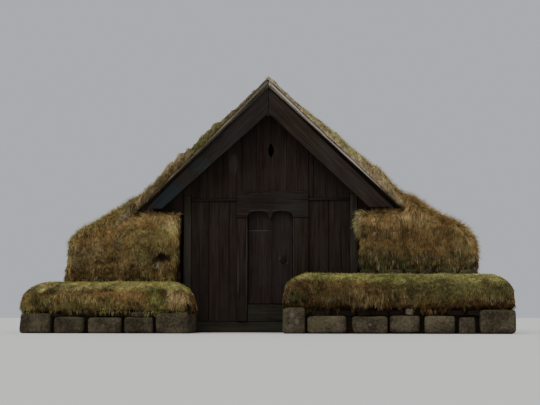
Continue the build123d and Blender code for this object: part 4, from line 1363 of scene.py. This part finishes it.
def crust_tone(p, n, r):
    ax = np.abs(p[:, 0])
    big = fbm(p + 7, 0.30, 3, 131)
    up, part = above_verge(p)
    ragged = part + 0.2 * vnoise(p * 11, 159)
    rim = np.where(p[:, 0] < 0, step(0.60, 0.95, ragged), step(0.20, 0.48, ragged))
    q = np.mod(r * 71, 1)
    # left: brown and grey below, pale on the rim, paler straw with a painted highlight along the lit top, with a mossy
    # and an ochre stretch
    body = np.where(q < 0.42, 0.42 + 0.05 * big, np.where(q < 0.60, 0.64, np.where(q < 0.72, 0.72, np.where(q < 0.86, 0.58, 0.20))))
    edge = np.where(q < 0.45, 0.47, np.where(q < 0.80, 0.575, 0.64))
    a = choose(rim, r, body, edge)
    a = choose(0.60 * step(0.55, 0.80, ax) * (1 - step(1.20, 1.45, ax)) * step(-0.25, 0.10, big), 1 - r, a, 0.77)
    a = choose(0.45 * step(1.35, 1.50, ax) * (1 - step(1.75, 1.95, ax)), 1 - r, a, 0.40)
    a = choose(0.45 * (1 - step(0.3, 0.6, ax)), 1 - r, a, 0.65)
    # right: bleached grey, green and straw on the rim
    body = np.where(q < 0.66, 0.645, np.where(q < 0.92, 0.60, 0.43))
    along = ax + 0.15 * vnoise(p * 3.1, 161)
    edge = np.where(along < 1.52, np.where(q < 0.42, 0.765, np.where(q < 0.70, 0.71, np.where(q < 0.84, 0.60, 0.86))),
                    np.where(q < 0.40, 0.51, np.where(q < 0.68, 0.59, np.where(q < 0.80, 0.645, np.where(q < 0.92, 0.785, 0.40)))))
    b = choose(rim * step(0.30, 0.60, ax), r, body, edge)
    b = choose(0.22 * step(1.60, 1.80, ax) * (1 - step(0.30, 0.55, ragged)), 1 - r, b, 0.33)
    t = np.where(p[:, 0] < 0, a, b)
    return choose(step(0.10, 0.24, behind_verge(p) + 0.05 * vnoise(p * 7, 165)), np.mod(r * 7.3, 1), t, roof_tone(p, n, r))


def crust(side, end):
    s = -1 if side == "left" else 1
    out, d = (F - 0.35, 1) if end == "front" else (R + 0.35, -1)
    xs = np.linspace(0.0, 2.262, 112)
    line = 4.30 - SLOPE * xs
    q = np.stack([s * xs, np.full(len(xs), out), line], 1)
    a = np.interp(xs, *GROWN[side])
    a = np.where(a > 0, a * (0.97 + (0.55 if side == "left" else 0.38) * fbm(q, 0.11, 2, 141)), a)
    hang = np.interp(xs, *HANG[side]) * (1.0 + 0.75 * fbm(q + 3, 0.09, 2, 142))
    face = np.where(a > 0.004, -0.012 - 0.006 * vnoise(q * 22, 143), 0.012)
    back = 0.20 + 0.26 * step(0.5, 1.3, xs)
    ring = [(back, -0.05 + 0 * a), (back - 0.01, a * 0.30), (back * 0.76, a * 0.72), (back * 0.52 + 0.005, a * 0.95),
            (back * 0.25 + 0.02, a * 1.0), (0.055 + 0 * a, a * 0.92),
            (0.015 + 0 * a, a * 0.66), (face * 0.9, a * 0.12), (face, -hang * 0.6), (face * 0.5 + 0.002, -hang), (0.02 + 0 * a, -hang - 0.004)]
    m = len(ring)
    rows = np.stack([np.stack([s * xs, out + d * o, line + hgt], 1) for o, hgt in ring], 1)
    rows = rows + 0.008 * vnoise(rows.reshape(-1, 3) * 16, 145).reshape(rows.shape[:2])[..., None] * np.array([0, 0.5, 1.0])
    v = rows.reshape(-1, 3)
    i, j = np.meshgrid(np.arange(len(xs) - 1), np.arange(m), indexing="ij")
    i, j = i.ravel(), j.ravel()
    quads = np.stack([i * m + j, i * m + (j + 1) % m, (i + 1) * m + (j + 1) % m, (i + 1) * m + j], 1)
    loops = list(quads.ravel()) + list(range(m))[::-1] + [(len(xs) - 1) * m + k for k in range(m)]
    totals = [4] * len(quads) + [m, m]
    bm = bmesh.new()
    vs = [bm.verts.new(c) for c in v]
    at = 0
    for c in totals:
        bm.faces.new([vs[k] for k in loops[at:at + c]])
        at += c
    bmesh.ops.recalc_face_normals(bm, faces=bm.faces[:])
    bmesh.ops.triangulate(bm, faces=[f for f in bm.faces if len(f.verts) > 4])
    me = bpy.data.meshes.new(f"verge_moss_{side}_{end}")
    bm.to_mesh(me)
    bm.free()
    me.polygons.foreach_set("use_smooth", np.ones(len(me.polygons), bool))
    v, t, n = bm_arrays(me)
    sod_colour(me, v, n, crust_tone, crust_shade)
    BASE[me.name] = (v, t)
    put(me.name, me, M["moss"], "house")


for side in ("left", "right"):
    for end in ("front", "rear"):
        crust(side, end)


# ------------------------------------------------------------------ grass
def scatter(v, t, weight, count, rng):
    a, b, c = v[t[:, 0]], v[t[:, 1]], v[t[:, 2]]
    fn = np.cross(b - a, c - a)
    area = np.linalg.norm(fn, axis=1)
    fn = fn / np.maximum(area, 1e-12)[:, None]
    w = area * np.maximum(weight((a + b + c) / 3, fn), 0)
    pick = rng.choice(len(t), count, p=w / w.sum())
    r1, r2 = np.sqrt(rng.random(count)), rng.random(count)
    p = a[pick] * (1 - r1)[:, None] + b[pick] * (r1 * (1 - r2))[:, None] + c[pick] * (r1 * r2)[:, None]
    vn = normals_of(v, t)
    n = unit(vn[t[pick, 0]] * (1 - r1)[:, None] + vn[t[pick, 1]] * (r1 * (1 - r2))[:, None] + vn[t[pick, 2]] * (r1 * r2)[:, None])
    return p, n


def downward(p):
    return np.tile([0.0, 0.0, -1.0], (len(p), 1))


def grass(name, bases, weight, count, length, width, lift, tone_of, shade_of, seed, droop=0.5, clump=8, spread=0.020, sway=0.30,
          comb=downward, simple=False):
    """Tufts of narrow blades. lift is how far a blade stands off the surface, from 0 to 1; comb is the way it is
    laid; droop is how far it falls over. A simple blade is one triangle, the others bend once."""
    rng = np.random.default_rng(seed)
    v = np.concatenate([BASE[b][0] for b in bases])
    offs = np.cumsum([0] + [len(BASE[b][0]) for b in bases])[:-1]
    t = np.concatenate([BASE[b][1] + o for b, o in zip(bases, offs)])
    m = count // clump
    cp, cn = scatter(v, t, weight, m, rng)
    rnd = rng.random(m)
    ctone = tone_of(cp, cn, rnd) + (rng.random(m) - 0.5) * 0.05
    cshade = shade_of(cp, cn, rnd)
    p = np.repeat(cp, clump, 0)
    n = np.repeat(cn, clump, 0)
    N_ = len(p)
    ref = np.where(np.abs(n[:, 2:3]) < 0.9, [[0, 0, 1.0]], [[1.0, 0, 0]])
    t1 = unit(np.cross(n, ref))
    t2 = np.cross(n, t1)
    o = rng.normal(0, spread, (N_, 2))
    p = p + t1 * o[:, :1] + t2 * o[:, 1:] - n * 0.010
    # combed by wind and rain: a slow field that turns the tufts together
    field = np.stack([fbm(p + 9, 0.45, 2, 21), fbm(p + 27, 0.45, 2, 22), 0.5 * fbm(p + 53, 0.45, 2, 23)], 1)
    tuft = np.repeat(rng.normal(0, 1, (m, 3)), clump, 0)
    lay = comb(p)
    lay = lay - n * (lay * n).sum(1, keepdims=True)
    lf = lift(p, n)[:, None]
    d0 = unit(n * lf + lay * (1 - lf) * 0.9 + field * 0.20 + tuft * 0.10 + rng.normal(0, sway, (N_, 3)) * 0.45
              + (t1 * o[:, :1] + t2 * o[:, 1:]) / spread * 0.10 * lf)
    # never into the surface
    into = np.minimum((d0 * n).sum(1) - 0.08, 0)[:, None]
    d0 = unit(d0 - n * into)
    big = np.repeat(rng.uniform(0.70, 1.30, m), clump)
    L = length(p, n) * big * rng.uniform(0.6, 1.25, N_)
    side = unit(np.cross(d0, n + rng.normal(0, 0.6, (N_, 3))))
    W = width * rng.uniform(0.6, 1.3, N_)[:, None]
    if simple:
        tip = p + unit(d0 + np.array([0, 0, -0.25])) * L[:, None]
        verts = np.stack([p - side * W / 2, p + side * W / 2, tip], 1)
        loops, totals, vv = (np.arange(N_)[:, None] * 3 + np.array([[0, 1, 2]])).ravel(), np.full(N_, 3), np.array([0.52, 0.52, 0.92])
    else:
        fall = np.array([0, 0, -1.0]) * droop
        d1 = unit(d0 + fall * (0.4 + rng.random((N_, 1))) + rng.normal(0, sway, (N_, 3)) * 0.30)
        into = np.minimum((d1 * n).sum(1) + 0.05, 0)[:, None]
        d1 = unit(d1 - n * into)
        mid = p + d0 * (L * 0.5)[:, None]
        tip = mid + d1 * (L * 0.5)[:, None]
        verts = np.stack([p - side * W / 2, p + side * W / 2, mid + side * W * 0.38, mid - side * W * 0.38, tip], 1)
        loops = (np.arange(N_)[:, None] * 5 + np.array([[0, 1, 2, 3, 3, 2, 4]])).ravel()
        totals, vv = np.tile([4, 3], N_), np.array([0.42, 0.42, 0.74, 0.74, 0.74, 0.74, 0.93])
    # nothing hangs far outside the walls or into the ground
    verts = np.clip(verts, [-4.09, -3.385, 0.012], [4.09, 3.385, 4.40])
    u = np.clip(np.repeat(ctone, clump) + rng.normal(0, 0.028, N_), 0.01, 0.99)
    # V holds painted light and shade: the clump's value from shade_of, times the place along the blade, darker at the
    # root
    k = np.repeat(cshade, clump) * rng.uniform(0.9, 1.1, N_)
    uv = np.stack([np.repeat(u, len(vv)), np.clip((k[:, None] * vv[None, :]).ravel(), 0.01, 0.99)], 1)
    me = mesh_from(name, verts.reshape(-1, 3), loops, totals, uv=uv)
    return put(name, me, M["grass"], "house")


def hidden(c, fn):
    """Faces of the mass that no grass can grow on: the underside, the inner sides and the ends behind the verge."""
    inner = (np.abs(c[:, 0]) < 1.62) & (fn[:, 0] * np.sign(c[:, 0]) < -0.5) & (c[:, 1] > F - 0.03) & (c[:, 1] < R + 0.03)
    eaves = (c[:, 2] > 1.9) & (np.abs(c[:, 0]) < 2.25) & (under(c) > 0.13) & (c[:, 1] > F - 0.16) & (c[:, 1] < R + 0.16)
    behind = (np.abs(fn[:, 1]) > 0.6) & (np.abs(c[:, 0]) < 2.24) & (c[:, 2] > 2.08)
    return inner | eaves | behind | (fn[:, 2] < -0.6)


def roofy(c, fn):
    return (under(c) < 0.12) & (fn[:, 2] > 0.30)


def roof_weight(c, fn):
    near = np.where((c[:, 1] < F + 0.10) | (c[:, 1] > R - 0.10), 2.6, 1.0) * np.where(c[:, 1] < F + 0.10, 1.5, 1.0)
    return np.where(roofy(c, fn) & ~hidden(c, fn), near * (1 - 0.45 * step(0.9, 0.2, np.abs(c[:, 0]))), 0)


def roof_len(p, n):
    ax = np.abs(p[:, 0])
    tufts = np.where((p[:, 0] > 0) & (p[:, 1] < F + 0.2), 0.035 * step(0.45, 0.6, ax), 0)
    return 0.058 + 0.045 * step(1.0, 1.9, ax) + tufts + 0.02 * fbm(p, 0.4, 2, 71)


def roof_lift(p, n):
    return 0.60 - 0.25 * step(2.6, 3.4, np.abs(p[:, 0])) + 0.12 * vnoise(p * 3, 61)


def wall_weight(c, fn):
    w = 1.0 * (np.abs(fn[:, 1]) > 0.4) + 0.8 * (np.abs(fn[:, 0]) > 0.4) + 0.7 * step(0.1, 0.6, fn[:, 2])
    w = w * np.where(c[:, 1] < F - 0.22, 1.9, 0.9)
    w = np.where(roofy(c, fn) | hidden(c, fn), 0, w)
    front = c[:, 1] < F
    w = w * (1 - 0.80 * np.clip(hollow(c, -1.815, 1.265, 0.150, 0.070) + 0.5 * hollow(c, -2.80, 1.215, 0.20, 0.045), 0, 1) * front)
    return w


def wall_len(p, n):
    foot = np.where(p[:, 1] < F - 0.2, np.where(p[:, 0] < 0, 0.87, 1.06), np.where(p[:, 0] < 0, 1.05, 1.27))
    low = 1 - step(0.0, 0.12, p[:, 2] - foot)
    return 0.090 + 0.025 * fbm(p, 0.3, 2, 91) + 0.025 * (p[:, 0] > 0) + 0.050 * low


def wall_lift(p, n):
    tuft = blob(p, 1.55, 1.86, 0.12, 0.25) * (p[:, 1] < F)
    return 0.10 + 0.05 * vnoise(p * 4, 92) + 0.30 * step(0.4, 0.8, n[:, 2]) + 0.35 * tuft


def wall_comb(p):
    """Strands hang straight down, but on the left front they lie in arcs about one point."""
    rx, rz = p[:, 0] + 2.15, p[:, 2] - 1.40
    r = np.hypot(rx, rz) + 1e-6
    w = np.exp(-(r / 1.05) ** 4) * step(-0.25, 0.12, rz) * (1 - step(-0.05, 0.30, rx)) * ((p[:, 0] < 0) & (p[:, 1] < F))
    lay = np.stack([-rz / r, 0 * r, rx / r], 1) * w[:, None] + downward(p) * (1 - w)[:, None]
    tuft = (blob(p, 1.57, 1.86, 0.14, 0.25) * (p[:, 1] < F))[:, None]
    return lay * (1 - 0.5 * tuft) + tuft * np.array([-0.9, -0.2, 0.0])


def cap_weight(c, fn):
    w = 1.0 * step(0.2, 0.6, fn[:, 2]) + 1.5 * (fn[:, 1] < -0.4) + 0.6 * (fn[:, 1] > 0.4) + (np.abs(fn[:, 0]) > 0.5)
    w = w * np.where((fn[:, 1] > 0.4) & (np.abs(c[:, 0]) > 1.54), 0.0, 1.0)
    w = w * np.where((c[:, 1] < -2.9) | (fn[:, 1] > 0.4), 1.25, 0.8)
    return np.where(fn[:, 2] < -0.6, 0, w)


def cap_len(p, n):
    sideways = 1 - step(0.25, 0.75, n[:, 2])
    low = 1 - step(0.02, 0.12, p[:, 2] - np.where(p[:, 0] < 0, 0.35, 0.40))
    smooth = 0.55 * (p[:, 0] > 2.1) * (p[:, 2] > 0.50)
    straw = 0.050 * blob(p, 1.68, 0.50, 0.32, 0.18) * (p[:, 1] < -2.9)
    return (0.038 + 0.040 * sideways + 0.012 * fbm(p, 0.3, 2, 101)) * (1 - smooth * 0.4) + 0.030 * low + straw


def cap_lift(p, n):
    return 0.50 - 0.34 * (1 - step(0.3, 0.8, n[:, 2]))


def crust_weight(c, fn):
    on = np.interp(np.abs(c[:, 0]), *GROWN["left"]) * (c[:, 0] < 0) + np.interp(np.abs(c[:, 0]), *GROWN["right"]) * (c[:, 0] > 0)
    bare = (c[:, 0] > 0) * (1 - step(0.10, 0.32, above_verge(c)[1]))
    bare = np.maximum(bare, (behind_verge(c) > 0.21) & (under(c) > 0.02))
    return np.clip(on / 0.03, 0, 1.5) * (fn[:, 2] > -0.3) * np.where(c[:, 1] < F, 1.6, 0.7) * (1 - 0.85 * bare)


def crust_len(p, n):
    return 0.034 + 0.022 * step(1.2, 1.8, np.abs(p[:, 0])) + 0.012 * fbm(p, 0.2, 2, 121)


def const(v):
    return lambda p, n: np.full(len(p), v)


for side in ("left", "right"):
    s = -1 if side == "left" else 1
    grass(f"roof_grass_{side}", [f"turf_{side}"], roof_weight, 66000, roof_len, 0.0080, roof_lift, roof_tone, roof_shade, 501 + s, 0.35, 8, 0.030,
          0.34, simple=True)
    grass(f"wall_grass_{side}", [f"turf_{side}"], wall_weight, 42000, wall_len, 0.0052, wall_lift, wall_tone, wall_shade, 521 + s, 0.6, 7, 0.017,
          0.20, comb=wall_comb)
    grass(f"yard_grass_{side}", [f"yard_sod_{side}"], cap_weight, 42000, cap_len, 0.0052, cap_lift, cap_tone, cap_shade, 541 + s, 0.5, 7, 0.015, 0.26)
    grass(f"verge_grass_{side}", [f"verge_moss_{side}_front", f"verge_moss_{side}_rear"], crust_weight, 9000 if s < 0 else 7500, crust_len,
          0.0048, const(0.42), crust_tone, crust_shade, 561 + s, 0.5, 7, 0.014, 0.30)

# ------------------------------------------------------------------ stage, light and camera
floor_me = bpy.data.meshes.new("stage_floor")
floor_me.from_pydata([(-90, -90, 0), (90, -90, 0), (90, 90, 0), (-90, 90, 0)], [], [(0, 1, 2, 3)])
floor = bpy.data.objects.new("stage_floor", floor_me)
bpy.context.scene.collection.objects.link(floor)
mat, nt, bsdf = new_mat("pale floor")
bsdf.inputs["Base Color"].default_value = (0.62, 0.61, 0.59, 1)
bsdf.inputs["Roughness"].default_value = 0.9
floor_me.materials.append(mat)

world = bpy.data.worlds.new("studio")
bpy.context.scene.world = world
world.use_nodes = True
bg = world.node_tree.nodes["Background"]
bg.inputs[0].default_value = (0.86, 0.90, 0.96, 1)
bg.inputs[1].default_value = 0.58


def sun(name, direction, strength, angle, colour=(1, 1, 1)):
    data = bpy.data.lights.new(name, "SUN")
    data.energy = strength
    data.angle = math.radians(angle)
    data.color = colour
    ob = bpy.data.objects.new(name, data)
    ob.rotation_euler = Vector(direction).to_track_quat("-Z", "Y").to_euler()
    bpy.context.scene.collection.objects.link(ob)


sun("key", (0.38, 0.55, -1.0), 1.7, 45, (1.0, 0.97, 0.93))
sun("top", (-0.2, -0.1, -1.0), 0.7, 60)

AZ, DIST, EYE = math.radians(5.5), 20.5, 0.30
cam_data = bpy.data.cameras.new("camera")
cam = bpy.data.objects.new("camera", cam_data)
bpy.context.scene.collection.objects.link(cam)
cam.location = (DIST * math.sin(AZ), F - DIST * math.cos(AZ), EYE)
pitch = math.radians(5.35)
aim = Vector((-math.sin(AZ) * math.cos(pitch), math.cos(AZ) * math.cos(pitch), math.sin(pitch)))
cam.rotation_euler = aim.to_track_quat("-Z", "Y").to_euler()
cam_data.sensor_width = 36
cam_data.lens = 80.0
cam_data.clip_end = 500
bpy.context.scene.camera = cam
